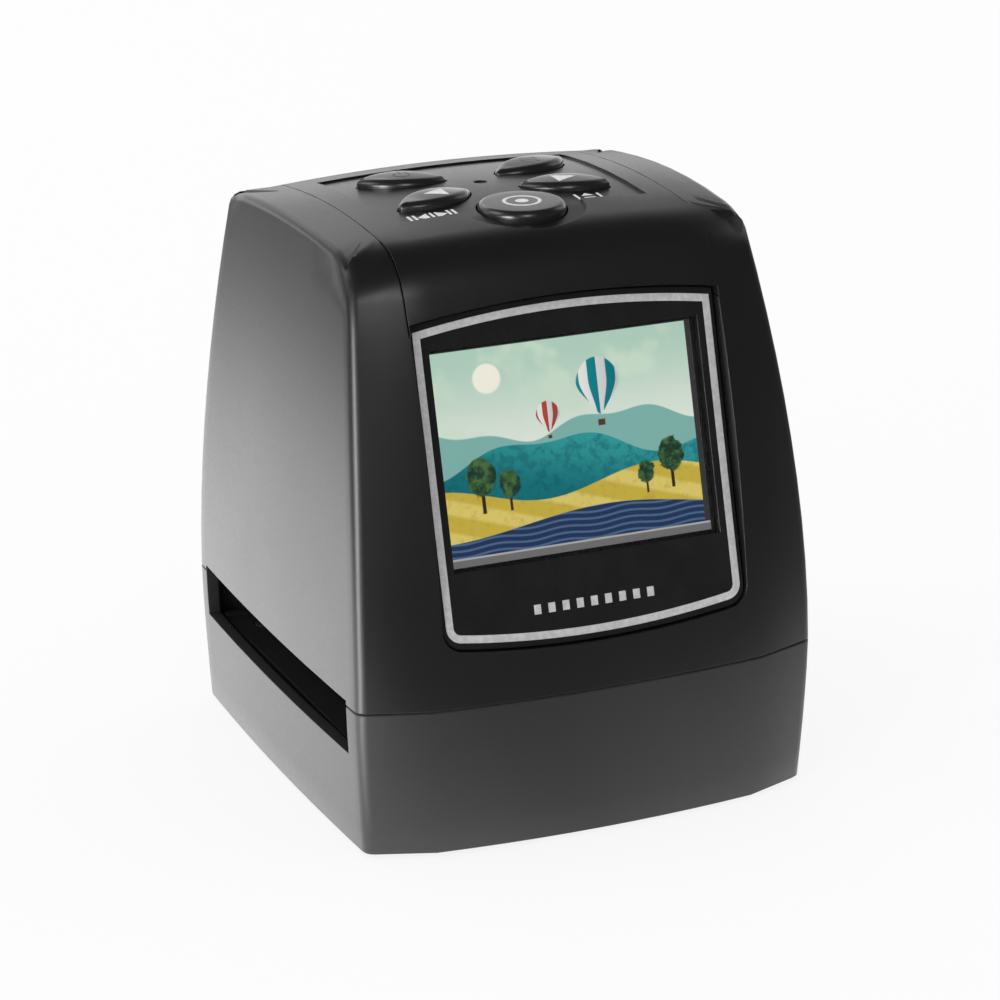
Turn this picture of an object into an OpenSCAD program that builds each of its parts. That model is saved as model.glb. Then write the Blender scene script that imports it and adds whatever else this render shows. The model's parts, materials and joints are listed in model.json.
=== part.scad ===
// Desktop film negative scanner: a two-part moulded housing with a film
// channel right through its base, a small display in the front and five
// push buttons on the top. The front faces -Y and the feet stand on Z = 0.

/* [Body] */
// Greatest width, at the seam between base and housing
body_w = 89.6; // [84:0.2:96]
// Greatest depth, at the same seam
body_d = 92.4; // [88:0.2:98]
// Height from the lower edge of the base to the crown of the top
body_h = 106.8; // [103:0.1:112]
// Height of the base shell, up to the seam
base_h = 27.2; // [26:0.1:30]
// How far the feet lift the base off the table
foot_lift = 0.8; // [0.4:0.1:2]
// Wall thickness of base and housing
wall = 2.2; // [1.6:0.1:2.6]
// Radius of the four upright edges
corner_r = 2.4; // [1.2:0.1:4]

/* [Body curves] */
// Narrowing of each side of the base towards the table
base_draft = 1.3; // [0.4:0.1:2]
// Narrowing of each side from the seam to the top
side_taper = 6.8; // [4:0.1:8]
// Lean of the front from the seam to the top
front_lean = 16.9; // [14:0.1:18]
// Lean of the back from the seam to the top
back_lean = 8.9; // [6:0.1:10]
// How far the middle of the front stands out at the seam
front_bow = 6.3; // [5.6:0.1:7]
// How far the middle of the front stands out at the top
front_bow_top = 3.8; // [3.4:0.1:4.6]
// How far the middle of each side stands out
side_bow = 1; // [0.4:0.1:2]
// How far the middle of the back stands out
back_bow = 0.6; // [0.2:0.1:1.4]
// Radius of the crown across the top
crown_across_r = 380; // [250:10:600]
// Radius of the crown from front to back
crown_along_r = 210; // [180:10:400]
// Radius of the edge between sides and top
side_edge_r = 1.4; // [1:0.1:2.4]
// Radius of the edge between front and top
front_edge_r = 7; // [4:0.1:8]
// Radius of the edge between back and top
back_edge_r = 5.8; // [3:0.1:6]

/* [Film channel] */
// Plain wall in front of and behind the channel opening
slot_margin = 5.05; // [4.4:0.05:7]
// Clear height of the channel
slot_h = 10; // [9:0.1:10.4]
// Height of the channel floor above the lower edge of the base
slot_low = 18.2; // [17.6:0.1:18.6]
// Width of the film window along the film
gate_w = 38; // [30:0.5:40]
// Width of the film window across the film
gate_d = 26; // [22:0.5:28]

/* [Display] */
// Width of the display panel
panel_w = 57.5; // [56:0.1:58]
// Thickness of the display panel
panel_t = 2; // [1.4:0.1:2.2]
// Lean of the display panel beyond that of the front behind it, degrees
panel_tilt = 1.8; // [0.8:0.1:2.6]
// How far the panel lies behind the bowed front, at the window centre
panel_setback = 4.42; // [4:0.02:5]
// Height of the window centre, as a share of the height of the housing
panel_rise = 0.5276; // [0.52:0.002:0.536]
// Top corner of the panel above the window centre
panel_up = 23.9; // [23:0.1:24.4]
// Lowest point of the panel below the window centre
panel_down = 34.3; // [33.4:0.1:34.8]
// How far the top and bottom edges of the panel arch
panel_arch = 2.2; // [1:0.1:3]
// Radius of the lower corners of the panel
panel_corner_r = 3.6; // [2:0.1:5]
// Width of the window in the panel
window_w = 50.8; // [48:0.1:52]
// Height of the window in the panel
window_h = 38.6; // [36:0.1:39]
// Gap all round the display panel
panel_gap = 0.35; // [0.2:0.05:0.5]

/* [Top cover] */
// Width of the cover band that runs over the top
band_w = 58.8; // [58:0.1:59.6]
// Thickness of the cover band
band_t = 2.6; // [2.2:0.1:3]
// Gap between the cover band and the housing
band_gap = 0.18; // [0.08:0.02:0.3]
// Depth of the shallow recess round the buttons
recess_depth = 0.45; // [0.3:0.05:0.8]
// Width of the recess round the buttons
recess_w = 48.8; // [46:0.2:51]

/* [Buttons] */
// Length of each leaf-shaped button
leaf_len = 16.2; // [15:0.1:17]
// Width of each leaf-shaped button
leaf_w = 8.4; // [7:0.1:9]
// Height of each leaf-shaped button above the recess
leaf_h = 1.8; // [1.4:0.05:2.4]
// Radius of the tips of each leaf-shaped button
leaf_tip_r = 0.8; // [0.3:0.1:1.2]
// Turn of each leaf-shaped button from the left-right line, degrees
leaf_turn = 18.5; // [12:0.5:22]
// Diameter of the round button
round_d = 15.8; // [14:0.1:17]
// Height of the round button above the recess
round_h = 1.25; // [1:0.05:1.8]
// Travel of every button
travel = 0.5; // [0.3:0.05:0.6]
// Gap round every button
button_gap = 0.3; // [0.2:0.05:0.4]

/* [Hidden] */
top_z = foot_lift + body_h;
split_z = foot_lift + base_h;
half_split_w = body_w / 2 - side_bow;
front_corner_y = front_bow - body_d / 2;
back_corner_y = body_d / 2 - back_bow;
crown_y = -0.5;
// Where the front facets start, as a share of the half width, and the share
// of the bow that the arc between them takes
facet_at = 0.75;
facet_share = 0.32;
// How quickly each face draws in towards the top
side_curve = 1.78;
front_curve = 1.84;
back_curve = 1.59;
base_curve = 1.5;
base_edge = 0.3;
// Chamfer on both sides of the seam between base and housing
seam_edge = 0.25;
// Half length of the line that the crown closes over, as a share of the half width
crown_line = 0.55;

function mix(a, b, t) = a + (b - a) * t;
function clamp01(t) = min(1, max(0, t));
// Share of the way up the base, and up the housing
function base_rise(z) = 1 - pow(1 - clamp01((z - foot_lift) / base_h), base_curve);
function upper_rise(z) = max(0, (z - split_z) / (body_h - base_h));
function half_w(z) =
    half_split_w - base_draft * (1 - base_rise(z)) - side_taper * pow(upper_rise(z), side_curve);
function front_y(z) =
    front_corner_y + base_draft * (1 - base_rise(z)) + front_lean * pow(upper_rise(z), front_curve);
function back_y(z) =
    back_corner_y + base_draft * (1 - base_rise(z)) / 2 - back_lean * pow(upper_rise(z), back_curve);
function bow(z) = mix(front_bow, front_bow_top, upper_rise(z));
function crown(x, y) =
    top_z - x * x / (2 * crown_across_r) - pow(y - crown_y, 2) / (2 * crown_along_r);

// Middle of the front in plan, and what follows from it for the display panel
function mid_front(z) = front_y(z) - bow(z);
panel_z = split_z + panel_rise * (body_h - base_h);
panel_out = -mid_front(panel_z) - panel_setback;
panel_lean = panel_tilt
    + atan((mid_front(panel_z + panel_up) - mid_front(panel_z - panel_down)) / (panel_up + panel_down));

// Outline stations: [kind, place, side]. The side faces have more of them near
// their ends, where the top edge rolls down.
side_places = [-1, -0.95, -0.89, -0.81, -0.5, -0.25, 0, 0.25, 0.5, 0.75, 0.87, 0.94, 1];
FRONT = 0; SIDE = 1; BACK = 2; CORNER_F = 3; CORNER_B = 4;
stations = concat(
    [[FRONT, -1, 0]],
    [for (i = [0:10]) [FRONT, mix(-facet_at, facet_at, i / 10), 0]],
    [[FRONT, 1, 0]],
    [for (i = [1:3]) [CORNER_F, i / 4, 1]],
    [for (t = side_places) [SIDE, t, 1]],
    [for (i = [1:3]) [CORNER_B, i / 4, 1]],
    [for (i = [0:6]) [BACK, mix(1, -1, i / 6), 0]],
    [for (i = [3:-1:1]) [CORNER_B, i / 4, -1]],
    [for (i = [len(side_places) - 1:-1:0]) [SIDE, side_places[i], -1]],
    [for (i = [3:-1:1]) [CORNER_F, i / 4, -1]]
);

// Front line in plan: an arc in the middle, a flat facet to each corner
function front_line(u, drop) =
    abs(u) < facet_at ? facet_share * drop * pow(u / facet_at, 2) - drop
    : facet_share * drop - drop
      + (1 - facet_share) * drop * (abs(u) - facet_at) / (1 - facet_at);

function bend(a, v, b, t) = pow(1 - t, 2) * a + 2 * t * (1 - t) * v + t * t * b;

// Point of the outline at height z, drawn in by inset
function plan_point(s, z, inset) =
    let (hw = half_w(z) - inset, yf = front_y(z) + inset, yb = back_y(z) - inset,
         drop = bow(z), r = max(corner_r - inset, 0.8), mid = (yf + yb) / 2,
         half = (yb - yf) / 2, k = 0.67 * r,
         fa = [hw - k, yf + front_line(1 - k / hw, drop)],
         sa = [hw + side_bow * (1 - pow((half - k) / half, 2)), yf + k],
         sb = [hw + side_bow * (1 - pow((half - r) / half, 2)), yb - r],
         ba = [hw - r, yb + back_bow * (1 - pow((hw - r) / hw, 2))])
    s[0] == FRONT ? let (x = s[1] * (hw - k)) [x, yf + front_line(x / hw, drop)]
    : s[0] == SIDE ? let (y = s[1] < 0 ? mix(mid, yf + k, -s[1]) : mix(mid, yb - r, s[1]))
        [s[2] * (hw + side_bow * (1 - pow((y - mid) / half, 2))), y]
    : s[0] == BACK ? let (x = s[1] * (hw - r)) [x, yb + back_bow * (1 - pow(x / hw, 2))]
    : let (p = s[0] == CORNER_F ? bend(fa, [hw, yf], sa, s[1]) : bend(sb, [hw, yb], ba, s[1]))
        [s[2] * p[0], p[1]];

function edge_r(s) =
    s[0] == FRONT ? front_edge_r : s[0] == BACK ? back_edge_r : s[0] == SIDE ? side_edge_r
    : s[0] == CORNER_F ? mix(front_edge_r, side_edge_r, s[1]) : mix(side_edge_r, back_edge_r, s[1]);

function flat_ring(z, inset) = [for (s = stations) let (p = plan_point(s, z, inset)) [p[0], p[1], z]];

// Share along a bend at which it has come in by e, where the wall leans out by a and the radius is r
function bend_at(e, a, r) = (sqrt(a * a + (r - a) * (a + e)) - a) / (r - a);
// Height that a bend of radius r takes off the top, e behind a wall that leans out by a
function roll_off(e, a, r) = e >= r ? 0 : let (t = bend_at(max(e, 0), a, r)) r * pow(1 - t, 2);
// Top surface of a body drawn in by inset: the crown, rolled down to front and back
function rolled(x, y, inset) =
    let (zf = top_z - 2, wf = front_y(zf) + inset, wb = back_y(zf) - inset)
    crown(x, y) - roll_off(y - wf, wf - front_y(zf - front_edge_r) - inset, front_edge_r)
                - roll_off(wb - y, back_y(zf - back_edge_r) - inset - wb, back_edge_r);

// Where the wall of a station would meet the top without its round edge
function rim_z(s, inset, sink) =
    let (p = plan_point(s, top_z - 1.5 - sink, inset))
    (s[0] == SIDE ? rolled(p[0], p[1], inset) : crown(p[0], p[1])) - sink;

function wall_ring(k, z0, inset, sink) = [for (s = stations)
    let (z = mix(z0, rim_z(s, inset, sink) - edge_r(s), k), p = plan_point(s, z, inset)) [p[0], p[1], z]];

function edge_ring(t, inset, sink) = [for (s = stations)
    let (zv = rim_z(s, inset, sink), r = edge_r(s), a = plan_point(s, zv - r, inset),
         v = plan_point(s, zv, inset), b = plan_point(s, zv, inset + r))
    bend([a[0], a[1], zv - r], [v[0], v[1], zv],
         [b[0], b[1], (s[0] == SIDE ? rolled(b[0], b[1], inset) : crown(b[0], b[1])) - sink], t)];

// Rings that close over the top towards a short line from side to side
function crown_ring(k, inset, sink) = [for (s = stations)
    let (p = plan_point(s, top_z - 1.5, inset + edge_r(s)), x = mix(crown_line, 1, k) * p[0],
         y = mix(0, p[1], k))
    [x, y, crown(x, y) - sink]];

function upper_rings(z0, inset, sink, levels) = concat(
    [for (k = [0:levels]) wall_ring(k / levels, z0, inset, sink)],
    [for (t = [0.25, 0.5, 0.75, 1]) edge_ring(t, inset, sink)],
    [for (k = [0.75, 0.5, 0.25]) crown_ring(k, inset, sink)]);

function reversed(list) = [for (i = [len(list) - 1:-1:0]) list[i]];
function centre_of(ring) = let (n = len(ring)) [for (c = [0:2]) [for (p = ring) p[c]] * [for (p = ring) 1] / n];

// Solid through a stack of closed rings with equal counts of points
module loft(rings) {
    n = len(rings[0]);
    last = len(rings) - 1;
    low = len(rings) * n;
    polyhedron(
        points = concat([for (r = rings) each r], [centre_of(rings[0]), centre_of(rings[last])]),
        faces = concat(
            [for (k = [0:last - 1], i = [0:n - 1]) let (j = (i + 1) % n)
                each [[k * n + i, (k + 1) * n + i, (k + 1) * n + j], [k * n + i, (k + 1) * n + j, k * n + j]]],
            [for (i = [0:n - 1]) [i, (i + 1) % n, low]],
            [for (i = [0:n - 1]) [last * n + (i + 1) % n, last * n + i, low + 1]]),
        convexity = 6);
}

// ---- places that several pieces share ----
slot_y = (back_corner_y + front_corner_y) / 2;
slot_len = back_corner_y - front_corner_y - 2 * slot_margin;
slot_z = foot_lift + slot_low;
slot_top = slot_z + slot_h;
floor_z = foot_lift + wall;
deck_t = 1.2;
rail_h = 0.8;
deck_top = slot_z - rail_h;
deck_z = deck_top - deck_t;
channel_d = slot_len + 0.5;
cheek_t = 1;
plate_w = 2 * (half_w(slot_z) - wall - 0.6);
diffuser_t = 2;
led_board_t = 1.6;
box_w = gate_w + 8;
box_d = gate_d + 8;
box_low = foot_lift + 7;
gate_z = slot_top + 0.2;
gate_t = 1.8;
tower_z = gate_z + gate_t;
// The lens tower takes up what height the body has to spare
tower_h = body_h - base_h - 56.6;
tube_z = tower_z + tower_h;
tube_h = 12;
tube_d = 18;
barrel_d = 14;
slide_fit = 0.1;
barrel_z = tube_z - 1;
lens_bore_r = barrel_d / 2 - 1.5;
stop_r = lens_bore_r - 1.5;
lens_pocket = 4;
lens_r = 14;
lens_t = 2.8;
lens_rest = lens_t / 2 - lens_r + sqrt(lens_r * lens_r - stop_r * stop_r);
retainer_h = lens_pocket - 2 * lens_rest;
holder_z = tube_z + tube_h;
holder_w = 26;
holder_h = 7;
sensor_z = holder_z + holder_h;
sensor_w = 32;
board_t = 1.6;
standoff_h = 4.4;
main_z = sensor_z + board_t + standoff_h;
main_w = 62;
main_front = slot_y - 0.24 * slot_len;
port_z = main_z + board_t;
main_back = back_y(port_z) - wall - 0.6;
chip_size = [14, 14, 1.2];
plug_size = [11, 3, 2];
cable_w = 9;
cable_t = 0.3;
keypad_plug = [4, slot_y + 12];
link_size = [12, 4];
link_y = slot_y + 7;
memory_size = [8, 10, 1];
memory_x = 20;
led_size = [3.5, 2.8, 0.8];
shell_t = 0.4;
usb_size = [7.7, 9.2, 3.9];
usb_x = 18;
card_size = [27, 19.5, 2.8];
card_x = -10;
port_face = back_y(port_z + 2) - 0.9;
pcb_top = top_z - 9.6;
pcb_t = 1.2;
pcb_w = 50;
pcb_d = 42;
switch_w = 6;
switch_h = 3.4;
plunger_d = 3.4;
plunger_up = 0.8;
press_z = pcb_top + switch_h + plunger_up;
flange_t = 0.9;
flange_rest = 0.1;
round_y = slot_y - 14.8;
leaf_x = 12.6;
leaf_front_y = slot_y - 4.9;
leaf_back_y = slot_y + 11.3;
lamp_y = slot_y + 4.4;
lamp_d = 2.4;
recess_front = slot_y - 14.5;
recess_back = slot_y + 23.8;
recess_bulge_r = round_d / 2 + 3.5;
// The dish round the round button tips forward beyond the slope of the crown, degrees
dish_tilt = 5;
pcb_y = (recess_front + recess_back) / 2 - 2.3;
post_places = [[-1, -1], [1, -1], [-1, 1], [1, 1]];
screw_x = body_w / 2 - 20.8;
screw_bite = 6;
screw_y = front_corner_y - 0.5;
screw_post_r = 3;
screw_seat = slot_z + 0.6;
foot_d = 9;
foot_t = 1.6;
foot_x = body_w / 2 - 11.8;
foot_y = [slot_y - slot_len / 2 + 4.1, slot_y + slot_len / 2 - 5.3];
deck_post_x = body_w / 2 - 9.8;
deck_post_y = slot_len / 2 - 6.7;
fastener_d = 2;
leaves = [["front_left", -1, leaf_front_y], ["front_right", 1, leaf_front_y],
          ["rear_left", -1, leaf_back_y], ["rear_right", 1, leaf_back_y]];

lcd_z = -panel_t - 0.4;
lcd_d = 2.8;
seat_t = 1;
lug_x = window_w / 2 + 3.2;
lug_y = 15;

module box(size, at) translate([at[0] - size[0] / 2, at[1] - size[1] / 2, at[2]]) cube(size);
module rod(d, h, at) translate(at) cylinder(d = d, h = h, $fn = 48);
module ring_pipe(od, id, h, at) translate(at) difference() {
    cylinder(d = od, h = h, $fn = 48);
    translate([0, 0, -1]) cylinder(d = id, h = h + 2, $fn = 48);
}
// Pan-head screw pointing up from its head at z = 0
module screw(len) {
    difference() {
        rotate_extrude($fn = 32) polygon([[0, 0.2], [1, 0], [1.7, 0.35], [1.9, 1], [1.9, 1.3], [0, 1.3]]);
        translate([-1.2, -0.2, -1]) cube([2.4, 0.4, 1.6]);
        translate([-0.2, -1.2, -1]) cube([0.4, 2.4, 1.6]);
    }
    translate([0, 0, 1.2]) cylinder(d = fastener_d - 0.2, h = len, $fn = 24);
}
// Space in which z points out of the display panel and y runs up it
module on_panel() translate([0, -panel_out, panel_z]) rotate([90 - panel_lean, 0, 0]) children();

module panel_outline(grow) {
    half = panel_w / 2 + grow;
    arch_r = (pow(panel_w / 2, 2) + pow(panel_arch, 2)) / (2 * panel_arch);
    up = panel_up + panel_arch + grow;
    down = panel_down + grow;
    r = panel_corner_r + grow;
    intersection() {
        translate([-half, -down]) square([2 * half, up + down]);
        translate([0, up - arch_r]) circle(arch_r, $fn = 360);
        translate([0, arch_r - down]) circle(arch_r, $fn = 360);
        union() {
            translate([-half, 0]) square([2 * half, up]);
            offset(r = r, $fn = 32) offset(delta = -r) intersection() {
                translate([-half, -down]) square([2 * half, up + down]);
                translate([0, arch_r - down]) circle(arch_r, $fn = 360);
            }
        }
    }
}

// Outline of a leaf-shaped button grown by g: two wide arcs joined by round tips
function leaf_points(g) =
    let (tip = leaf_tip_r, a = leaf_len / 2 - tip, h = leaf_w / 2,
         big = (a * a + h * h - tip * tip) / (2 * (h - tip)), phi = asin(a / (big - tip)),
         tip_g = max(tip + g, 0.15))
    concat(
        [for (i = [0:4]) let (t = mix(phi - 90, 90 - phi, i / 4)) [a + tip_g * cos(t), tip_g * sin(t)]],
        [for (i = [1:10]) let (t = mix(phi, -phi, i / 11)) [(big + g) * sin(t), (big + g) * cos(t) + h - big]],
        [for (i = [0:4]) let (t = mix(90 + phi, 270 - phi, i / 4)) [tip_g * cos(t) - a, tip_g * sin(t)]],
        [for (i = [1:10]) let (t = mix(-phi, phi, i / 11)) [(big + g) * sin(t), big - h - (big + g) * cos(t)]]);
module at_leaf(side, y) translate([side * leaf_x, y, 0])
    rotate([0, 0, side * (y < lamp_y ? -leaf_turn : leaf_turn)]) children();

// Solid under a crowned surface that lies sink below the top of the body
module under_crown(sink) {
    translate([0, crown_y, top_z - sink - crown_across_r]) rotate([90, 0, 0])
    rotate_extrude($fn = 180) intersection() {
        translate([crown_across_r - crown_along_r, 0]) circle(crown_along_r, $fn = 180);
        translate([0, -60]) square([crown_across_r + 10, 120]);
    }
}
module recess_outline() {
    translate([-recess_w / 2, recess_front]) square([recess_w, recess_back - recess_front]);
    translate([0, round_y]) circle(recess_bulge_r, $fn = 64);
}
module recess_tool() {
    difference() {
        translate([0, 0, top_z - 8]) linear_extrude(12) recess_outline();
        under_crown(recess_depth);
    }
    translate([0, round_y, crown(0, round_y) - recess_depth])
        rotate([atan((crown_y - round_y) / crown_along_r) + dish_tilt, 0, 0])
        cylinder(r = recess_bulge_r, h = 8, $fn = 64);
}

// ---- casings ----
module base_shell() color("#3a3a3c") {
    outer = concat([flat_ring(foot_lift, base_edge)],
        [for (k = [0:5]) flat_ring(mix(foot_lift + base_edge, split_z - seam_edge, k / 5), 0)],
        [flat_ring(split_z, seam_edge)]);
    inner = [for (k = [3:-1:0]) flat_ring(mix(floor_z, split_z, k / 3), wall)];
    difference() {
        union() {
            loft(concat(outer, inner));
            for (sx = [-1, 1]) {
                rod(2 * screw_post_r, split_z - foot_lift - 1, [sx * screw_x, screw_y, foot_lift + 1]);
                for (sy = [-1, 1]) {
                    rod(6, deck_z - foot_lift - 1, [sx * deck_post_x, slot_y + sy * deck_post_y, foot_lift + 1]);
                    rod(5, box_low - led_board_t - foot_lift - 1,
                        [sx * (box_w / 2 - 3), slot_y + sy * (box_d / 2 - 3), foot_lift + 1]);
                }
            }
        }
        box([body_w + 20, slot_len, slot_h], [0, slot_y, slot_z]);
        for (sx = [-1, 1]) {
            rod(4.4, screw_seat - foot_lift + 1, [sx * screw_x, screw_y, foot_lift - 1]);
            rod(fastener_d + 0.4, split_z, [sx * screw_x, screw_y, foot_lift]);
            for (y = foot_y) rod(foot_d + 0.2, foot_t, [sx * foot_x, y, foot_lift - foot_t / 2]);
            for (sy = [-1, 1]) rod(fastener_d - 0.2, 8,
                [sx * deck_post_x, slot_y + sy * deck_post_y, deck_z - 8 + 0.1]);
        }
    }
}

band_low_front = panel_z + (panel_up - 1.2) * cos(panel_lean);
band_low_back = top_z - 0.2387 * (body_h - base_h);
module band_space(w, lift) rotate([90, 0, 90]) translate([0, 0, -w / 2]) linear_extrude(w) polygon([
    [-body_d, band_low_front + lift], [crown_y, band_low_front + lift], [crown_y, band_low_back + lift],
    [body_d, band_low_back + lift], [body_d, top_z + 20], [-body_d, top_z + 20]]);

module upper_housing() color("#1d1d1f") {
    difference() {
        union() {
            difference() {
                loft(concat([flat_ring(split_z, seam_edge)], upper_rings(split_z + seam_edge, 0, 0, 10)));
                difference() {
                    loft(upper_rings(split_z - 2, wall, 3, 5));
                    on_panel() translate([0, 0, -panel_t - seat_t]) linear_extrude(20) panel_outline(wall);
                }
            }
            on_panel() for (p = post_places) rod(4, lcd_d + 0.4 - seat_t + 0.2,
                [p[0] * lug_x, p[1] * lug_y, lcd_z - lcd_d]);
            for (sx = [-1, 1]) {
                rod(2 * screw_post_r, 9, [sx * screw_x, screw_y, split_z + 0.001]);
                box([12, 1.2, 11], [sx * 20, back_y(split_z) - wall - 0.8, split_z - 5]);
                box([12, 2.4, 5.9], [sx * 20, back_y(split_z) - wall - 0.4, split_z + 0.1]);
                for (y = [-20, 4, 24]) let (z = crown(band_w / 2, y + (y > crown_y ? 3 : -3)) - band_t)
                    box([6, 6, 2], [sx * (band_w / 2 + 1), y, z - 2.02]);
            }
        }
        band_space(band_w, 0);
        on_panel() translate([0, 0, -panel_t]) linear_extrude(20) panel_outline(panel_gap);
        on_panel() box([window_w + 2.4, window_h + 2.4, 6], [0, 0, -panel_t - 4]);
        box([body_w + 20, slot_len, slot_h], [0, slot_y, slot_z]);
        for (sx = [-1, 1]) rod(fastener_d - 0.2, 8, [sx * screw_x, screw_y, split_z - 0.5]);
        on_panel() for (p = post_places) rod(fastener_d - 0.2, 2.2, [p[0] * lug_x, p[1] * lug_y, lcd_z - lcd_d - 0.5]);
        box([usb_size[0] + 0.8, 12, usb_size[2] + 0.8], [usb_x, port_face, port_z - 0.4]);
        box([card_size[0] + 0.8, 12, card_size[2] + 0.8], [card_x, port_face, port_z - 0.4]);
    }
}

// Line over the band at a fixed x: up the front, over the top, down the back
function band_front(x, z) = [x, front_y(z) + front_line(x / half_w(z), bow(z)), z];
function band_back(x, z) = [x, back_y(z) + back_bow * (1 - pow(x / half_w(z), 2)), z];
function band_line(x, low_f, low_b) =
    let (zf = crown(x, band_front(x, top_z - 2)[1]), zb = crown(x, band_back(x, top_z - 3)[1]),
         vf = band_front(x, zf), vb = band_back(x, zb),
         af = band_front(x, zf - front_edge_r), ab = band_back(x, zb - back_edge_r),
         yf = vf[1] + front_edge_r, yb = vb[1] - back_edge_r,
         bf = [x, yf, crown(x, yf)], bb = [x, yb, crown(x, yb)])
    concat(
        [for (k = [0:2]) band_front(x, mix(low_f, zf - front_edge_r, k / 3))],
        [for (k = [0:4]) bend(af, vf, bf, k / 4)],
        [for (k = [1:5]) let (y = mix(yf, yb, k / 6)) [x, y, crown(x, y)]],
        [for (k = [0:4]) bend(bb, vb, ab, k / 4)],
        [for (k = [1:3]) band_back(x, mix(zb - back_edge_r, low_b, k / 3))]);
// The same line moved inwards by t along its own normal
function sunk(line, t) = let (n = len(line) - 1) [for (i = [0:n])
    let (d = line[min(n, i + 1)] - line[max(0, i - 1)], l = norm([d[1], d[2]]))
    line[i] + [0, d[2], -d[1]] * t / l];

module top_cover() color("#1d1d1f") {
    half = band_w / 2 - band_gap;
    lines = [for (i = [0:12])
        let (l = band_line(mix(-half, half, i / 12), band_low_front - band_t, band_low_back - band_t))
        concat(sunk(l, 0), reversed(sunk(l, band_t)))];
    difference() {
        union() {
            intersection() {
                union() {
                    loft(reversed(lines));
                    on_panel() difference() {
                        translate([0, 0, -panel_t - seat_t]) linear_extrude(panel_t + seat_t + 1.4)
                            panel_outline(wall - 0.5);
                        translate([0, 0, -panel_t - 2]) linear_extrude(10) panel_outline(-1.5);
                    }
                }
                band_space(band_w - 2 * band_gap, band_gap);
            }
            for (p = post_places) rod(5, 6.6, [p[0] * (pcb_w / 2 - 3), pcb_y + p[1] * (pcb_d / 2 - 3), pcb_top]);
        }
        on_panel() translate([0, 0, -panel_t]) linear_extrude(20) panel_outline(panel_gap);
        recess_tool();
        for (l = leaves) at_leaf(l[1], l[2]) translate([0, 0, top_z - 12]) linear_extrude(20)
            polygon(leaf_points(button_gap));
        rod(round_d + 2 * button_gap, 20, [0, round_y, top_z - 12]);
        rod(lamp_d + 0.1, 20, [0, lamp_y, top_z - 12]);
        for (p = post_places) rod(fastener_d - 0.2, 5,
            [p[0] * (pcb_w / 2 - 3), pcb_y + p[1] * (pcb_d / 2 - 3), pcb_top - 0.1]);
    }
}

module base_screws() color("#9a9a9a")
    for (sx = [-1, 1]) translate([sx * screw_x, screw_y, screw_seat - 1.3]) screw(split_z + screw_bite - screw_seat);

module feet() color("#161616")
    for (sx = [-1, 1], y = foot_y) translate([sx * foot_x, y, 0]) rotate_extrude($fn = 48)
        polygon([[0, 0], [foot_d / 2 - 0.4, 0], [foot_d / 2, 0.4], [foot_d / 2, foot_lift + foot_t / 2],
                 [0, foot_lift + foot_t / 2]]);

// ---- display ----
module display_lens() color("#111112") on_panel() difference() {
    translate([0, 0, -panel_t]) linear_extrude(panel_t) panel_outline(0);
    box([window_w, window_h, panel_t + 2], [0, 0, -panel_t - 1]);
}
module display_window() color("#dfe6e8")
    on_panel() box([window_w - 0.1, window_h - 0.1, 0.8], [0, 0, -panel_t]);
module display_gasket() color("#2a2a2a") on_panel() difference() {
    box([window_w + 2.2, window_h + 2.2, 0.4], [0, 0, -panel_t - 0.4]);
    box([window_w - 1, window_h - 1, 2], [0, 0, -panel_t - 1]);
}
module lcd_frame() color("#8c8e90") on_panel() difference() {
    box([window_w + 2, window_h + 2, lcd_d], [0, 0, lcd_z - lcd_d]);
    box([window_w - 1, window_h - 1, lcd_d], [0, 0, lcd_z - lcd_d + 0.5]);
}
module lcd_panel() color("#7fb8a8")
    on_panel() box([window_w - 1.1, window_h - 1.1, lcd_d - 0.6], [0, 0, lcd_z - lcd_d + 0.5]);
bracket_t = 1.4;
module display_bracket() color("#6f7275") on_panel() difference() {
    box([2 * lug_x + 5, 2 * lug_y + 5, bracket_t], [0, 0, lcd_z - lcd_d - bracket_t]);
    for (sy = [-1, 1]) box([window_w - 14, lug_y - 3, 4], [0, sy * (lug_y / 2 + 1), lcd_z - lcd_d - 2]);
    for (p = post_places) rod(fastener_d + 0.2, 6, [p[0] * lug_x, p[1] * lug_y, lcd_z - lcd_d - 3]);
}
module bracket_screws() color("#9a9a9a") on_panel() for (p = post_places)
    translate([p[0] * lug_x, p[1] * lug_y, lcd_z - lcd_d - bracket_t - 1.3]) screw(2.4);

// ---- top panel ----
// Radius of the domed top of a leaf-shaped button
dome_r = 44;
// Its rounded wall: how far each ring is drawn in, and its share of the height
leaf_wall = [[0, 0], [0.18, 0.35], [0.4, 0.65], [0.62, 0.83], [0.9, 0.94], [1.3, 1]];
// Lowest point of the cover's underside over a key that reaches out by rx and ry
function under_cover(x, y, rx, ry) = crown(abs(x) + rx, y + (y > crown_y ? ry : -ry)) - band_t;
module leaf_cap(side, y) {
    base = crown(side * leaf_x, y) - recess_depth;
    skirt = under_cover(leaf_x, y, leaf_len / 2 + 1.5, leaf_w / 2 + 1.5) - flange_rest - flange_t;
    low = base + 0.3;
    function domed(p, share) =
        [p[0], p[1], mix(low, base + leaf_h - (p[0] * p[0] + p[1] * p[1]) / (2 * dome_r), share)];
    function level(g, z) = [for (p = leaf_points(g)) [p[0], p[1], z]];
    top = leaf_points(-leaf_wall[len(leaf_wall) - 1][0]);
    at_leaf(side, y) {
        loft(concat(
            [level(1.2, skirt), level(1.2, skirt + flange_t), level(0, skirt + flange_t)],
            [for (w = leaf_wall) [for (p = leaf_points(-w[0])) domed(p, w[1])]],
            [for (k = [0.75, 0.5, 0.25, 0.1]) [for (p = top) domed(k * p, 1)]]));
        translate([0, 0, press_z]) cylinder(d = 3, h = skirt - press_z + 0.2, $fn = 32);
    }
}
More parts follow.
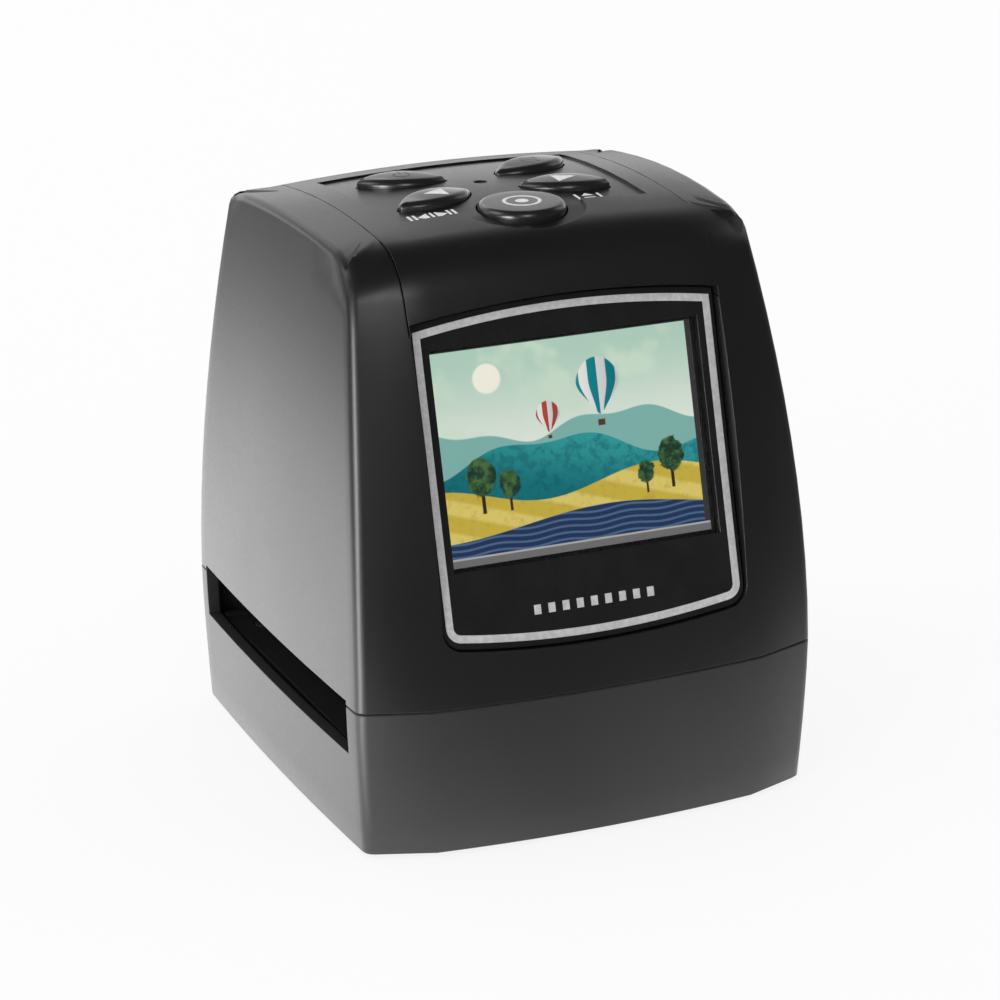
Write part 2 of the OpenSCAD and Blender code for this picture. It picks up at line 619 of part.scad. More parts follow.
module round_button() color("#2a2a2c") {
    base = crown(0, round_y) - recess_depth;
    r = round_d / 2;
    skirt = under_cover(0, round_y, 0, r + 1.2) - flange_rest - flange_t;
    translate([0, round_y, 0]) rotate_extrude($fn = 72) polygon([[0, press_z], [1.5, press_z], [1.5, skirt],
        [r + 1.2, skirt], [r + 1.2, skirt + flange_t], [r, skirt + flange_t], [r, base],
        [r - 0.15, base + 0.4 * round_h], [r - 0.4, base + 0.7 * round_h], [r - 0.75, base + 0.89 * round_h],
        [r - 1.25, base + 0.97 * round_h], [0, base + round_h]]);
}
module plunger(x, y) color("#b9b4a4") rod(plunger_d, plunger_up + 1.2, [x, y, press_z - plunger_up - 1.2]);
module front_left_button() color("#2a2a2c") leaf_cap(-1, leaf_front_y);
module front_right_button() color("#2a2a2c") leaf_cap(1, leaf_front_y);
module rear_left_button() color("#2a2a2c") leaf_cap(-1, leaf_back_y);
module rear_right_button() color("#2a2a2c") leaf_cap(1, leaf_back_y);
module round_plunger() plunger(0, round_y);
module front_left_plunger() plunger(-leaf_x, leaf_front_y);
module front_right_plunger() plunger(leaf_x, leaf_front_y);
module rear_left_plunger() plunger(-leaf_x, leaf_back_y);
module rear_right_plunger() plunger(leaf_x, leaf_back_y);
module switch_bodies() color("#2f2f31")
    for (p = concat([[0, round_y]], [for (l = leaves) [l[1] * leaf_x, l[2]]])) difference() {
        box([switch_w, switch_w, switch_h], [p[0], p[1], pcb_top]);
        rod(plunger_d + 0.2, switch_h, [p[0], p[1], pcb_top + 0.6]);
    }
module keypad_board() color("#1f5a3a") difference() {
    box([pcb_w, pcb_d, pcb_t], [0, pcb_y, pcb_top - pcb_t]);
    for (p = post_places) rod(fastener_d + 0.3, 4, [p[0] * (pcb_w / 2 - 3), pcb_y + p[1] * (pcb_d / 2 - 3), pcb_top - 3]);
}
module keypad_screws() color("#9a9a9a") for (p = post_places)
    translate([p[0] * (pcb_w / 2 - 3), pcb_y + p[1] * (pcb_d / 2 - 3), pcb_top - pcb_t - 1.3]) screw(4.6);
module status_led() color("#d8f0d8") box([3, 1.6, 1.2], [0, lamp_y, pcb_top]);
module light_pipe() color("#e8ecec") {
    rod(lamp_d, crown(0, lamp_y) - recess_depth - 0.3 - pcb_top - 1.2, [0, lamp_y, pcb_top + 1.2]);
    rod(lamp_d + 1.4, 0.8, [0, lamp_y, under_cover(0, lamp_y, 2, 2) - 0.85]);
}

// ---- film channel and light ----
module film_deck() color("#202022") difference() {
    union() {
        box([plate_w, channel_d + 2 * cheek_t, deck_t], [0, slot_y, deck_z]);
        for (sy = [-1, 1]) box([plate_w, 2, rail_h], [0, slot_y + sy * (slot_len / 2 - 1), deck_top - 0.001]);
    }
    box([gate_w, gate_d, 10], [0, slot_y, deck_z - 2]);
    for (p = post_places) translate([p[0] * deck_post_x, slot_y + p[1] * deck_post_y, deck_z])
        cylinder(d1 = fastener_d, d2 = 2 * fastener_d + 0.2, h = deck_t + 0.001, $fn = 32);
}
module deck_screws() color("#9a9a9a") for (p = post_places)
    translate([p[0] * deck_post_x, slot_y + p[1] * deck_post_y, 0]) rotate_extrude($fn = 32) polygon([
        [0, deck_z - 5], [fastener_d / 2 - 0.1, deck_z - 5], [fastener_d / 2 - 0.1, deck_z],
        [fastener_d - 0.1, deck_top - 0.05], [0, deck_top - 0.05]]);
module light_diffuser() color("#f4f4f0") box([box_w, box_d, diffuser_t], [0, slot_y, deck_z - diffuser_t]);
function rect_ring(w, d, z) = [[-w / 2, slot_y - d / 2, z], [w / 2, slot_y - d / 2, z],
    [w / 2, slot_y + d / 2, z], [-w / 2, slot_y + d / 2, z]];
module light_box() color("#f0f0ee") {
    z1 = deck_z - diffuser_t;
    difference() {
        loft([rect_ring(box_w - 6, box_d - 6, box_low), rect_ring(box_w, box_d, z1)]);
        loft([rect_ring(box_w - 8.4, box_d - 8.4, box_low - 0.01), rect_ring(box_w - 2.4, box_d - 2.4, z1 + 0.01)]);
    }
}
module led_board() color("#e6e6e0") box([box_w, box_d, led_board_t], [0, slot_y, box_low - led_board_t]);
module leds() color("#f7e08a") for (i = [-1:1], j = [-1:1])
    box(led_size, [i * (box_w - 16) / 2, slot_y + j * (box_d - 16) / 2, box_low]);
module film_gate() color("#202022") difference() {
    union() {
        box([plate_w, channel_d + 2 * cheek_t, gate_t], [0, slot_y, gate_z]);
        for (sy = [-1, 1]) box([plate_w - 8, cheek_t, gate_z - deck_top + 0.1],
            [0, slot_y + sy * (channel_d + cheek_t) / 2, deck_top]);
    }
    box([gate_w, gate_d, 10], [0, slot_y, gate_z - 2]);
    for (p = post_places) rod(fastener_d - 0.2, 10, [p[0] * (gate_w / 2 + 7), slot_y + p[1] * (gate_d / 2 + 5), gate_z - 2]);
}

// ---- optics ----
module lens_tower() color("#262628") difference() {
    union() {
        box([gate_w + 18, gate_d + 14, 1.6], [0, slot_y, tower_z]);
        loft([rect_ring(gate_w + 6, gate_d + 6, tower_z), rect_ring(tube_d + 4, tube_d + 4, tube_z)]);
        rod(tube_d, tube_h + 0.1, [0, slot_y, tube_z - 0.1]);
    }
    loft([rect_ring(gate_w + 2.8, gate_d + 2.8, tower_z - 0.01), rect_ring(tube_d, tube_d, tube_z - 1.6)]);
    rod(barrel_d + slide_fit, tube_h + 10, [0, slot_y, tube_z - 4]);
    for (p = post_places) rod(fastener_d + 0.4, 6, [p[0] * (gate_w / 2 + 7), slot_y + p[1] * (gate_d / 2 + 5), tower_z - 2]);
}
module tower_screws() color("#9a9a9a") for (p = post_places)
    translate([p[0] * (gate_w / 2 + 7), slot_y + p[1] * (gate_d / 2 + 5), tower_z + 1.6 + 1.3]) mirror([0, 0, 1]) screw(3.2);
// A bore at each end of the barrel takes one lens, which rests on a step
module lens_barrel() color("#1a1a1a") translate([0, slot_y, barrel_z]) rotate_extrude($fn = 64) difference() {
    translate([stop_r, 0]) square([barrel_d / 2 - stop_r, tube_h]);
    translate([0, -1]) square([lens_bore_r, lens_pocket + 1]);
    translate([0, tube_h - lens_pocket]) square([lens_bore_r, lens_pocket + 1]);
}
module lens_element(z) translate([0, slot_y, z]) rotate_extrude($fn = 64) intersection() {
    translate([0, lens_t / 2 - lens_r]) circle(lens_r, $fn = 180);
    translate([0, lens_r - lens_t / 2]) circle(lens_r, $fn = 180);
    translate([0, -lens_t]) square([lens_bore_r - slide_fit, 2 * lens_t]);
}
module front_lens() color("#cfe0e6") lens_element(barrel_z + lens_pocket - lens_rest);
module rear_lens() color("#cfe0e6") lens_element(barrel_z + tube_h - lens_pocket + lens_rest);
module lens_retainers() color("#3c3c3e") for (z = [0, tube_h - retainer_h])
    ring_pipe(2 * (lens_bore_r - slide_fit / 2), 2 * stop_r, retainer_h, [0, slot_y, barrel_z + z]);
module sensor_holder() color("#262628") difference() {
    box([holder_w, holder_w, holder_h], [0, slot_y, holder_z]);
    box([holder_w - 3.2, holder_w - 3.2, holder_h], [0, slot_y, holder_z + 1.6]);
    rod(12, 10, [0, slot_y, holder_z - 2]);
}
module ir_filter() color("#9fc7d8") box([14, 14, 0.6], [0, slot_y, holder_z + 1.6]);
module image_sensor() color("#34343a") box([10, 9, 1.4], [0, slot_y, sensor_z - 1.4]);
module sensor_board() color("#1f5a3a") difference() {
    box([sensor_w, sensor_w, board_t], [0, slot_y, sensor_z]);
    for (p = post_places) rod(fastener_d + 0.2, 6, [p[0] * (sensor_w / 2 - 3), slot_y + p[1] * (sensor_w / 2 - 3), sensor_z - 2]);
}

// ---- electronics ----
module board_standoffs() color("#b08d3c") for (p = post_places)
    translate([p[0] * (sensor_w / 2 - 3), slot_y + p[1] * (sensor_w / 2 - 3), sensor_z + board_t]) difference() {
        cylinder(d = 4.6, h = standoff_h, $fn = 6);
        translate([0, 0, -1]) cylinder(d = fastener_d, h = standoff_h + 2, $fn = 24);
    }
module board_screws() color("#9a9a9a") for (p = post_places)
    translate([p[0] * (sensor_w / 2 - 3), slot_y + p[1] * (sensor_w / 2 - 3), main_z + board_t + 1.3]) mirror([0, 0, 1]) screw(2.9);
module main_board() color("#1f5a3a") difference() {
    translate([-main_w / 2, main_front, main_z]) cube([main_w, main_back - main_front, board_t]);
    for (p = post_places) rod(fastener_d + 0.2, 6, [p[0] * (sensor_w / 2 - 3), slot_y + p[1] * (sensor_w / 2 - 3), main_z - 2]);
}
module processor_chip() color("#202024") box(chip_size, [2, slot_y - 1, port_z]);
module memory_chips() color("#202024") for (sx = [-1, 1]) box(memory_size, [sx * memory_x, slot_y - 6, port_z]);
// White plugs on the boards, and the block that joins sensor board and main board
module board_connectors() color("#e8e4d8") {
    box(plug_size, [keypad_plug[0], keypad_plug[1], port_z]);
    box(plug_size, [keypad_plug[0], keypad_plug[1], pcb_top - pcb_t - plug_size[2]]);
    box(plug_size, [0, main_front + plug_size[1] / 2, port_z]);
    box([link_size[0], link_size[1], standoff_h], [0, link_y, sensor_z + board_t]);
}
module keypad_cable() color("#8a5a2c") box(
    [cable_w, cable_t, pcb_top - pcb_t - 2 * plug_size[2] - port_z],
    [keypad_plug[0], keypad_plug[1], port_z + plug_size[2]]);
// Runs level from the back of the display, through the upper window of its bracket
module display_cable() color("#8a5a2c") {
    z = port_z + plug_size[2] / 2;
    up = (z - panel_z - (lcd_z - lcd_d) * sin(panel_lean)) / cos(panel_lean);
    back = up * sin(panel_lean) - (lcd_z - lcd_d) * cos(panel_lean) - panel_out + cable_t;
    box([cable_w, main_front - back, cable_t], [0, (back + main_front) / 2, z - cable_t / 2]);
}
module usb_socket() color("#c4c6c8") difference() {
    translate([usb_x - usb_size[0] / 2, port_face - usb_size[1], port_z]) cube(usb_size);
    translate([usb_x - usb_size[0] / 2 + shell_t, port_face - 0.65 * usb_size[1], port_z + shell_t])
        cube([usb_size[0] - 2 * shell_t, usb_size[1], usb_size[2] - 2 * shell_t]);
}
module card_slot() color("#c4c6c8") difference() {
    translate([card_x - card_size[0] / 2, port_face - card_size[1], port_z]) cube(card_size);
    translate([card_x - card_size[0] / 2 + 1, port_face - card_size[1] - 1, port_z + shell_t])
        cube([card_size[0] - 2, card_size[1] + 2, card_size[2] - 2 * shell_t]);
}

base_shell();
upper_housing();
top_cover();
feet();
base_screws();
display_lens();
display_window();
display_gasket();
lcd_frame();
lcd_panel();
display_bracket();
bracket_screws();
round_button();
front_left_button();
front_right_button();
rear_left_button();
rear_right_button();
round_plunger();
front_left_plunger();
front_right_plunger();
rear_left_plunger();
rear_right_plunger();
switch_bodies();
keypad_board();
keypad_screws();
status_led();
light_pipe();
film_deck();
deck_screws();
light_diffuser();
light_box();
led_board();
leds();
film_gate();
lens_tower();
tower_screws();
lens_barrel();
front_lens();
rear_lens();
lens_retainers();
sensor_holder();
ir_filter();
image_sensor();
sensor_board();
board_standoffs();
board_screws();
main_board();
processor_chip();
memory_chips();
usb_socket();
card_slot();
board_connectors();
keypad_cable();
display_cable();
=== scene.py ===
"""Looks of a desktop film negative scanner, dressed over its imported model.

Lengths are in metres in the model's own frame: the front faces -Y, the feet
stand on Z = 0. Sizes that a maker would read off a drawing are given in
millimetres and turned into metres where a mesh is made.
"""

from __future__ import annotations

import json
import logging
import math
from abc import ABC, abstractmethod
from dataclasses import dataclass, field, replace
from enum import Enum
from functools import cached_property
from typing import Any, ClassVar, Mapping, Sequence

import bmesh
import bpy
from mathutils import Matrix, Vector
from mathutils.bvhtree import BVHTree
from mathutils.interpolate import poly_3d_calc

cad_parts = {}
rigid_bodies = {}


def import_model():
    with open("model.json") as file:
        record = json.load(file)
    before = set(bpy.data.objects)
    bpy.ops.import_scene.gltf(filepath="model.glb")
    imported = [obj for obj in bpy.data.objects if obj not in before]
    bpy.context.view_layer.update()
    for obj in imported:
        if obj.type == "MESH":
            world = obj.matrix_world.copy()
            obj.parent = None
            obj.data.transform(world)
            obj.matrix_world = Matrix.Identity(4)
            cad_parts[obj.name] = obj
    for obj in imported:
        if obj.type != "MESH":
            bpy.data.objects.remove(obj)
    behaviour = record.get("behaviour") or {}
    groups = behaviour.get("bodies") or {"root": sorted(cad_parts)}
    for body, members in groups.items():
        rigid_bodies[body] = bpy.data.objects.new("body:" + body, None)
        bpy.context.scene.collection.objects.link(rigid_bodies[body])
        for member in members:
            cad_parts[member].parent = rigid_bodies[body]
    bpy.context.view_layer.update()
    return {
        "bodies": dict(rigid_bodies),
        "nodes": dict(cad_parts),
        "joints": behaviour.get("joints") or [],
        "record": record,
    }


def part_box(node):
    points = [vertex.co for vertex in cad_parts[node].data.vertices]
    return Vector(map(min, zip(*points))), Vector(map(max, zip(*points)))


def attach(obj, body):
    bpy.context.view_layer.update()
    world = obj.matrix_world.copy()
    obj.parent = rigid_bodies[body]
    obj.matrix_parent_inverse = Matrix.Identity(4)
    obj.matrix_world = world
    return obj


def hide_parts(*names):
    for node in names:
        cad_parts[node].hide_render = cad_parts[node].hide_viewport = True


LOG = logging.getLogger("film_scanner")
MM = 0.001
WHITE = (1.0, 1.0, 1.0, 1.0)

Colour = tuple[float, float, float, float]
Point2 = tuple[float, float]
Triple = tuple[float, float, float]


def grey(level: float) -> Colour:
    """Neutral colour of an 8-bit display level."""
    return tint(level, level, level)


def tint(red: float, green: float, blue: float) -> Colour:
    """Scene colour of an 8-bit display colour.

    Args:
        red: Red level, 0 to 255.
        green: Green level, 0 to 255.
        blue: Blue level, 0 to 255.

    Returns:
        The linear colour with full alpha.
    """

    def linear(level: float) -> float:
        """One channel, from display level to linear."""
        share = level / 255
        return share / 12.92 if share <= 0.04045 else ((share + 0.055) / 1.055) ** 2.4

    return (linear(red), linear(green), linear(blue), 1.0)


def shade(colour: Colour, factor: float) -> Colour:
    """The colour with its three levels multiplied by a factor."""
    return tuple(level * factor for level in colour[:3]) + (1.0,)


def mix(start: float, end: float, share: float) -> float:
    """Value between start and end at the given share."""
    return start + (end - start) * share


# ---------------------------------------------------------------- shader maths


class Wire:
    """A shader output that takes part in Python arithmetic.

    Each operation on it adds one Math node to the graph it belongs to.
    """

    def __init__(self, graph: Graph, socket: bpy.types.NodeSocket) -> None:
        """Keeps the socket and its graph."""
        self.graph = graph
        self.socket = socket

    def _math(self, operation: str, *values: float | Wire) -> Wire:
        """Adds a Math node.

        Args:
            operation: The node's operation.
            values: Its inputs, in order.

        Returns:
            The node's result.
        """
        inputs = dict(enumerate(values))
        return self.graph.wire("ShaderNodeMath", {"operation": operation}, inputs)

    def __add__(self, other: float | Wire) -> Wire:
        """Sum."""
        return self._math("ADD", self, other)

    def __radd__(self, other: float) -> Wire:
        """Sum with a number on the left."""
        return self._math("ADD", other, self)

    def __sub__(self, other: float | Wire) -> Wire:
        """Difference."""
        return self._math("SUBTRACT", self, other)

    def __rsub__(self, other: float) -> Wire:
        """Difference from a number on the left."""
        return self._math("SUBTRACT", other, self)

    def __mul__(self, other: float | Wire) -> Wire:
        """Product."""
        return self._math("MULTIPLY", self, other)

    def __rmul__(self, other: float) -> Wire:
        """Product with a number on the left."""
        return self._math("MULTIPLY", other, self)

    def __truediv__(self, other: float | Wire) -> Wire:
        """Quotient."""
        return self._math("DIVIDE", self, other)

    def __rtruediv__(self, other: float) -> Wire:
        """Quotient of a number on the left."""
        return self._math("DIVIDE", other, self)

    def __abs__(self) -> Wire:
        """Absolute value."""
        return self._math("ABSOLUTE", self)

    def sine(self) -> Wire:
        """Sine of the value in radians."""
        return self._math("SINE", self)

    def fraction(self) -> Wire:
        """Part after the point."""
        return self._math("FRACT", self)

    def hypot(self, other: Wire) -> Wire:
        """Length of the diagonal that this value and another one span."""
        return self._math("SQRT", self * self + other * other)

    def most(self, other: float | Wire) -> Wire:
        """Larger of the two."""
        return self._math("MAXIMUM", self, other)

    def ramp(self, low: float, high: float, start: float = 0.0, end: float = 1.0) -> Wire:
        """Smooth step of this value.

        Args:
            low: Value at which the step starts.
            high: Value at which it ends.
            start: Result at and below low.
            end: Result at and above high.

        Returns:
            The stepped value.
        """
        return self.graph.wire(
            "ShaderNodeMapRange",
            {"interpolation_type": "SMOOTHSTEP", "clamp": True},
            {0: self, 1: low, 2: high, 3: start, 4: end},
        )

    def below(self, edge: float | Wire, blur: float) -> Wire:
        """One where the value lies under an edge, with a soft border.

        Args:
            edge: The edge's value.
            blur: Width of the border.

        Returns:
            The mask.
        """
        return (self - edge).ramp(-blur / 2, blur / 2, 1.0, 0.0)


class Tree:
    """A node tree that gets its nodes one by one."""

    def __init__(self, tree: bpy.types.NodeTree) -> None:
        """Keeps the tree."""
        self.tree = tree

    def node(
        self,
        kind: str,
        settings: Mapping[str, Any] | None = None,
        inputs: Mapping[int | str, Any] | None = None,
    ) -> bpy.types.Node:
        """Adds a node, sets its settings and then its sockets.

        Args:
            kind: The node's type.
            settings: Its properties.
            inputs: Values or links of its sockets, by index or name.

        Returns:
            The node.
        """
        node = self.tree.nodes.new(kind)
        for key, value in (settings or {}).items():
            setattr(node, key, value)
        for key, value in (inputs or {}).items():
            source = value.socket if isinstance(value, Wire) else value
            if isinstance(source, bpy.types.NodeSocket):
                self.tree.links.new(source, node.inputs[key])
            else:
                node.inputs[key].default_value = value
        return node


class Graph(Tree):
    """Shader tree of one material or world."""

    def __init__(self, owner: bpy.types.Material | bpy.types.World) -> None:
        """Empties the owner's tree and gives it an output."""
        owner.use_nodes = True
        super().__init__(owner.node_tree)
        self.tree.nodes.clear()
        world = isinstance(owner, bpy.types.World)
        self.output = self.node("ShaderNodeOutputWorld" if world else "ShaderNodeOutputMaterial")

    def wire(
        self,
        kind: str,
        settings: Mapping[str, Any] | None = None,
        inputs: Mapping[int | str, Any] | None = None,
        output: int | str = 0,
    ) -> Wire:
        """Adds a node and gives one of its outputs.

        Args:
            kind: The node's type.
            settings: Its properties.
            inputs: Values or links of its sockets.
            output: The output's index or name.

        Returns:
            The output as a wire.
        """
        return Wire(self, self.node(kind, settings, inputs).outputs[output])

    def place(self) -> Wire:
        """Object coordinates in metres."""
        return self.wire("ShaderNodeTexCoord", output="Object")

    def axes(self, vector: Wire | None = None) -> tuple[Wire, Wire, Wire]:
        """The three parts of a vector, or of the object coordinates."""
        whole = self.place() if vector is None else vector
        node = self.node("ShaderNodeSeparateXYZ", None, {0: whole})
        return tuple(Wire(self, out) for out in node.outputs)  # type: ignore[return-value]

    def rays(self) -> tuple[Wire, Wire]:
        """Masks of what the eye sees, also through glass, and of what reflections meet."""
        path = self.node("ShaderNodeLightPath")
        kinds = ("Camera", "Transmission", "Glossy")
        eye, glass, mirror = (Wire(self, path.outputs[f"Is {kind} Ray"]) for kind in kinds)
        return eye.most(glass), mirror

    def noise(
        self,
        size: float,
        detail: float = 2.0,
        roughness: float = 0.5,
        stretch: Triple = (1, 1, 1),
    ) -> Wire:
        """Noise with features of a given size.

        Args:
            size: Size of a feature in metres.
            detail: Number of finer layers.
            roughness: Weight of the finer layers.
            stretch: Scale of the coordinates along each axis.

        Returns:
            The noise value, about 0.5 on average.
        """
        place = {"Vector": self.place(), "Scale": stretch}
        coords = self.wire("ShaderNodeMapping", {"vector_type": "POINT"}, place)
        inputs = {"Vector": coords, "Scale": 1 / size, "Detail": detail, "Roughness": roughness}
        return self.wire("ShaderNodeTexNoise", {"noise_dimensions": "3D"}, inputs)

    def cells(self, size: float) -> Wire:
        """Distance field of scattered cells of a given size."""
        inputs = {"Vector": self.place(), "Scale": 1 / size}
        return self.wire("ShaderNodeTexVoronoi", {"feature": "F1"}, inputs)

    def blend(self, share: float | Wire, start: Colour | Wire, end: Colour | Wire) -> Wire:
        """Mixes two colours.

        Args:
            share: Share of the second colour.
            start: First colour.
            end: Second colour.

        Returns:
            The mixed colour.
        """
        return self.wire(
            "ShaderNodeMix", {"data_type": "RGBA"}, {"Factor": share, 6: start, 7: end}, output=2
        )

    def rounded(self, radius: float) -> Wire:
        """Normal that rounds sharp edges by a small radius."""
        return self.wire("ShaderNodeBevel", {"samples": 4}, {"Radius": radius})

    def bump(self, height: Wire, depth: float, normal: Wire | None = None) -> Wire:
        """Normal of a surface that a height lifts.

        Args:
            height: Height, 0 to 1.
            depth: Depth of the relief in metres.
            normal: Normal that the relief stands on.

        Returns:
            The bumped normal.
        """
        inputs: dict[int | str, Any] = {"Height": height, "Distance": depth, "Strength": 1.0}
        if normal is not None:
            inputs["Normal"] = normal
        return self.wire("ShaderNodeBump", None, inputs)

    def surface(self, **sockets: Any) -> None:
        """Shades the owner with one Principled surface.

        Args:
            sockets: Values or links; underscores stand for spaces.
        """
        inputs = {key.replace("_", " "): value for key, value in sockets.items()}
        self.close(self.wire("ShaderNodeBsdfPrincipled", None, inputs))

    def close(self, shader: Wire) -> None:
        """Feeds a shader to the output."""
        self.tree.links.new(shader.socket, self.output.inputs["Surface"])


# -------------------------------------------------------------------- finishes


@dataclass(frozen=True)
class Finish(ABC):
    """A surface finish that makes its material once, on first use."""

    name: str

    @abstractmethod
    def paint(self, graph: Graph) -> None:
        """Builds the finish's nodes."""

    def material(self) -> bpy.types.Material:
        """The finish's material, made if it isn't there yet."""
        found = bpy.data.materials.get(self.name)
        if found is None:
            found = bpy.data.materials.new(self.name)
            self.paint(Graph(found))
        return found

    def dress(self, piece: bpy.types.Object) -> None:
        """Gives a piece this finish in place of what it had."""
        if not piece.material_slots:
            piece.data.materials.append(self.material())
        for slot in piece.material_slots:
            slot.material = self.material()


@dataclass(frozen=True)
class MouldedPlastic(Finish):
    """Moulded plastic with a fine spark-eroded grain.

    The grain's size and depth, the size of the flow marks and the radius of
    the softened edges are in metres. The uneven values are the roughness that
    the flow marks and the grain add and take.
    """

    colour: Colour = grey(40)
    roughness: float = 0.4
    grain: float = 0.00028
    depth: float = 0.000006
    mottle: float = 0.06
    edge: float = 0.0003
    specular: float = 0.5
    lacquer: float = 0.0
    lacquer_roughness: float = 0.24
    flow_size: float = 0.02
    uneven_flow: float = 0.06
    uneven_grain: float = 0.08

    def paint(self, graph: Graph) -> None:
        """Colour with faint flow marks, grain in relief and softened edges."""
        flow = graph.noise(self.flow_size, 3)
        grain = graph.noise(self.grain, 2, 0.6)
        fine = graph.noise(self.grain * 2.7, 1)
        darker, lighter = (shade(self.colour, 1 + sign * self.mottle) for sign in (-1, 1))
        uneven = (flow - 0.5) * self.uneven_flow
        graph.surface(
            Base_Color=graph.blend(flow.ramp(0.3, 0.7), darker, lighter),
            Roughness=self.roughness + uneven + (fine - 0.5) * self.uneven_grain,
            Normal=graph.bump(grain, self.depth, graph.rounded(self.edge)),
            Specular_IOR_Level=self.specular,
            Coat_Weight=self.lacquer,
            Coat_Roughness=self.lacquer_roughness,
        )


@dataclass(frozen=True)
class GlossPanel(Finish):
    """Polished panel, printed black from behind."""

    colour: Colour = grey(28)
    roughness: float = 0.06

    def paint(self, graph: Graph) -> None:
        """Deep black under a clear face with the faintest waviness."""
        haze = graph.noise(0.006, 3)
        wave = graph.noise(0.018, 1)
        graph.surface(
            Base_Color=graph.blend(haze.ramp(0.35, 0.75), self.colour, grey(32)),
            Roughness=self.roughness + haze * 0.03,
            Normal=graph.bump(wave, 0.000004, graph.rounded(0.00025)),
            Specular_IOR_Level=0.45,
        )


@dataclass(frozen=True)
class ClearPane(Finish):
    """Clear window that lets the picture through."""

    cover: float = 0.07

    def paint(self, graph: Graph) -> None:
        """A thin dark film with a polished face."""
        smear = graph.noise(0.009, 4, 0.6)
        graph.surface(
            Base_Color=graph.blend(smear.ramp(0.3, 0.8), tint(24, 26, 28), tint(34, 37, 39)),
            Roughness=0.02 + smear * 0.04,
            Alpha=self.cover + smear.ramp(0.45, 0.9) * 0.02,
        )


@dataclass(frozen=True)
class SoftRubber(Finish):
    """Matt rubber, slightly dusty."""

    colour: Colour = grey(24)

    def paint(self, graph: Graph) -> None:
        """Rubber with fine pits and a paler bloom."""
        bloom = graph.noise(0.003, 4, 0.7)
        pits = graph.cells(0.0004)
        graph.surface(
            Base_Color=graph.blend(bloom.ramp(0.4, 0.8), self.colour, grey(38)),
            Roughness=0.72 + bloom * 0.2,
            Normal=graph.bump(pits, 0.00003, graph.rounded(0.0002)),
            Specular_IOR_Level=0.3,
        )


@dataclass(frozen=True)
class CellFoam(Finish):
    """Open foam strip that seals the display."""

    def paint(self, graph: Graph) -> None:
        """Dark foam with open pores, painted darker towards their middles as shade inside them."""
        # Painted shade: the pore mask darkens the colour towards each pore's middle, as shade
        # inside it, and also gives the bump the pores' real depth.
        pores_and_shade = graph.cells(0.0003)
        graph.surface(
            Base_Color=graph.blend(pores_and_shade.ramp(0.1, 0.6), grey(14), grey(48)),
            Roughness=0.95,
            Normal=graph.bump(pores_and_shade, 0.00008),
            Specular_IOR_Level=0.1,
        )


@dataclass(frozen=True)
class PlainMetal(Finish):
    """Rolled, plated or turned metal."""

    colour: Colour = grey(176)
    roughness: float = 0.32
    brush: Triple = (1, 30, 30)

    def paint(self, graph: Graph) -> None:
        """Metal with rolling marks and small stains."""
        marks = graph.noise(0.012, 3, 0.7, self.brush)
        stain = graph.noise(0.004, 4, 0.6)
        graph.surface(
            Base_Color=graph.blend(stain.ramp(0.45, 0.85), self.colour, shade(self.colour, 0.72)),
            Metallic=1.0,
            Roughness=self.roughness + (marks - 0.5) * 0.25,
            Normal=graph.bump(marks, 0.000008, graph.rounded(0.0001)),
        )


@dataclass(frozen=True)
class CircuitBoard(Finish):
    """Glass-fibre board under solder mask, with its tracks."""

    mask: Colour = tint(22, 84, 52)
    track: Colour = tint(48, 122, 72)
    pitch: float = 0.0016
    hole_pitch: Point2 = (0.0043, 0.0051)

    def paint(self, graph: Graph) -> None:
        """Tracks that run in blocks, with plated holes between them."""
        x, y, _ = graph.axes()
        block = graph.cells(0.009).ramp(0.45, 0.5)
        tracks = self._lines(x) * block + self._lines(y) * (1 - block)
        hole_x, hole_y = (
            abs((value / pitch).fraction() - 0.5) for value, pitch in zip((x, y), self.hole_pitch)
        )
        ring = hole_x.hypot(hole_y).below(0.09, 0.02)
        colour = graph.blend(tracks, self.mask, self.track)
        colour = graph.blend(ring, colour, tint(196, 170, 92))
        graph.surface(
            Base_Color=colour,
            Roughness=0.34 + graph.noise(0.003, 3) * 0.14,
            Metallic=ring * 0.9,
            Normal=graph.bump(tracks + ring, 0.00003),
        )

    def _lines(self, value: Wire) -> Wire:
        """Mask of soft-edged lines at the tracks' pitch."""
        middle = (value / self.pitch).fraction() - 0.5
        return middle.ramp(-0.12, -0.06) * (1 - middle.ramp(0.06, 0.12))


@dataclass(frozen=True)
class RibbonFilm(Finish):
    """Amber film cable with parallel copper tracks."""

    pitch: float = 0.0006

    def paint(self, graph: Graph) -> None:
        """Tracks that run along the cable under the film."""
        across = (graph.axes()[0] / self.pitch).fraction()
        track = abs(across - 0.5).below(0.28, 0.12)
        haze = graph.noise(0.002, 3)
        graph.surface(
            Base_Color=graph.blend(track, tint(206, 138, 58), tint(164, 92, 40)),
            Roughness=0.28 + haze * 0.12,
            Normal=graph.bump(track, 0.00002),
        )


@dataclass(frozen=True)
class ChipPackage(Finish):
    """Black epoxy of a chip's body."""

    def paint(self, graph: Graph) -> None:
        """Epoxy with a dull, grainy face."""
        grit = graph.noise(0.0002, 2, 0.7)
        cloud = graph.noise(0.004, 2)
        graph.surface(
            Base_Color=graph.blend(cloud.ramp(0.3, 0.7), grey(30), grey(42)),
            Roughness=0.5 + grit * 0.2,
            Normal=graph.bump(grit, 0.00001, graph.rounded(0.0001)),
        )


